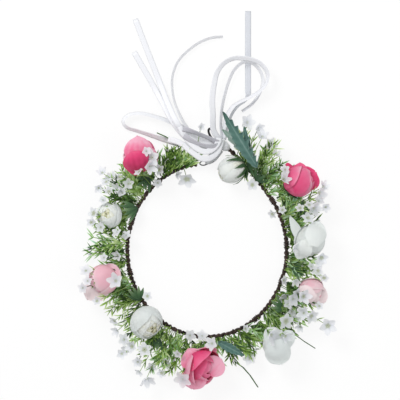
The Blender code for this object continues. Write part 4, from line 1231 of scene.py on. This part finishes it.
# %% Where the stars stand
# place in the photograph and width, all in its pixels
STARS = [(153, 158, 15), (150, 167, 12), (140, 172, 9), (187, 179, 15), (177, 175, 7), (158, 183, 8),
         (107, 182, 10), (113, 178, 9), (118, 188, 9), (123, 193, 9), (95, 213, 10), (102, 227, 9),
         (118, 232, 9), (127, 235, 9), (118, 255, 9), (105, 257, 8), (87, 270, 11), (117, 280, 13),
         (84, 287, 9), (115, 320, 9), (125, 338, 11), (127, 348, 10), (145, 348, 12), (148, 295, 8),
         (167, 360, 11), (147, 377, 13), (162, 372, 8), (183, 377, 15), (190, 335, 10), (202, 335, 10),
         (212, 342, 12), (250, 358, 12), (245, 328, 7), (270, 333, 15), (285, 320, 13), (292, 298, 12),
         (302, 295, 12), (282, 295, 9), (303, 312, 11), (310, 315, 12), (327, 325, 14), (295, 280, 8),
         (283, 280, 8), (317, 270, 10), (320, 257, 10), (292, 247, 9), (282, 210, 7), (272, 214, 8),
         (313, 208, 12), (317, 193, 12), (307, 218, 11), (282, 180, 11), (252, 185, 10), (247, 123, 13),
         (262, 137, 10), (270, 145, 12), (201, 127, 7), (103, 173, 9), (110, 192, 8), (120, 177, 8),
         (129, 184, 9), (99, 188, 8), (104, 200, 7), (160, 170, 9), (147, 152, 8), (322, 187, 9),
         (318, 201, 9), (325, 207, 8), (308, 205, 8), (299, 208, 8), (318, 263, 8), (323, 277, 8),
         (310, 266, 7), (118, 330, 9), (133, 345, 10), (138, 361, 9), (122, 353, 9), (152, 366, 9),
         (140, 371, 8), (178, 352, 8), (296, 318, 9), (318, 305, 8), (291, 311, 9), (300, 326, 8),
         (296, 292, 9), (288, 303, 9), (284, 334, 10), (92, 222, 8), (89, 280, 8), (98, 300, 7),
         (258, 128, 9), (275, 155, 8), (284, 170, 8)]
STAR_HEIGHT, HEIGHT_CHANCE = 0.014, 0.006
NEAR_FLOWER, STAR_LIFT, STAR_SCALE = 0.011, 0.0065, 1.3
rng = random.Random("stars")
groups = {}
for x, y, width in STARS:
    body, spot = "band", pixel(x, y, STAR_HEIGHT + HEIGHT_CHANCE * rng.random())
    for head in HEADS:
        if math.hypot(head.centre.x - spot.x, head.centre.y - spot.y) < head.radius + NEAR_FLOWER:
            body = head.flower.name
            spot.z = drape(head, spot, OVER) + STAR_LIFT
    groups.setdefault(body, []).append((spot, width * PIXEL * STAR_SCALE))
print("stars", len(STARS), "on", sorted(groups))

# %% Build the stars
TWIG_WIDTH, TWIG_ARCH, TWIG_FOOT = 0.0008, 0.006, 0.002
LONG_TWIG = 0.02
for body, stars in groups.items():
    silk, twigs = bmesh.new(), bmesh.new()
    for spot, width in stars:
        foot = band_point(band_angle(spot)) + UP * TWIG_FOOT
        outwards = Vector((spot.x - foot.x, spot.y - foot.y, 0)).normalized()
        axis = outwards * rng.uniform(0.0, 0.8) + UP
        axis += Vector((rng.uniform(-0.7, 0.7), rng.uniform(-0.7, 0.7), 0))
        faced = axis.to_track_quat("Z", "Y").to_matrix().to_4x4()
        turned = faced @ Matrix.Rotation(rng.uniform(0, 1.2), 4, "Z")
        mesh = rng.choice(STAR_MESHES)
        stamp(silk, mesh, Matrix.Translation(spot) @ turned @ Matrix.Scale(width, 4), rng.random())
        points = [foot.lerp(spot, part) + UP * TWIG_ARCH * part * (1 - part)
                  for part in (0.0, 0.2, 0.4, 0.6, 0.8, 1.0)]
        tone, cool = tone_and_cool(rng)
        stem_line(twigs, points, TWIG_WIDTH, tone)
        if (spot - foot).length > LONG_TWIG and spot.y < knot_centre.y:
            needles_on(twigs, points[2:5] if body == "band" else points[3:5], rng, tone, cool, GREENS_SIZE)
    dressed(stamped("stars_" + body, silk), STAR, body, "white_petal")
    dressed(stamped("star_twigs_" + body, twigs), NEEDLE, body, "spray_green")
print("star pieces", 2 * len(groups))
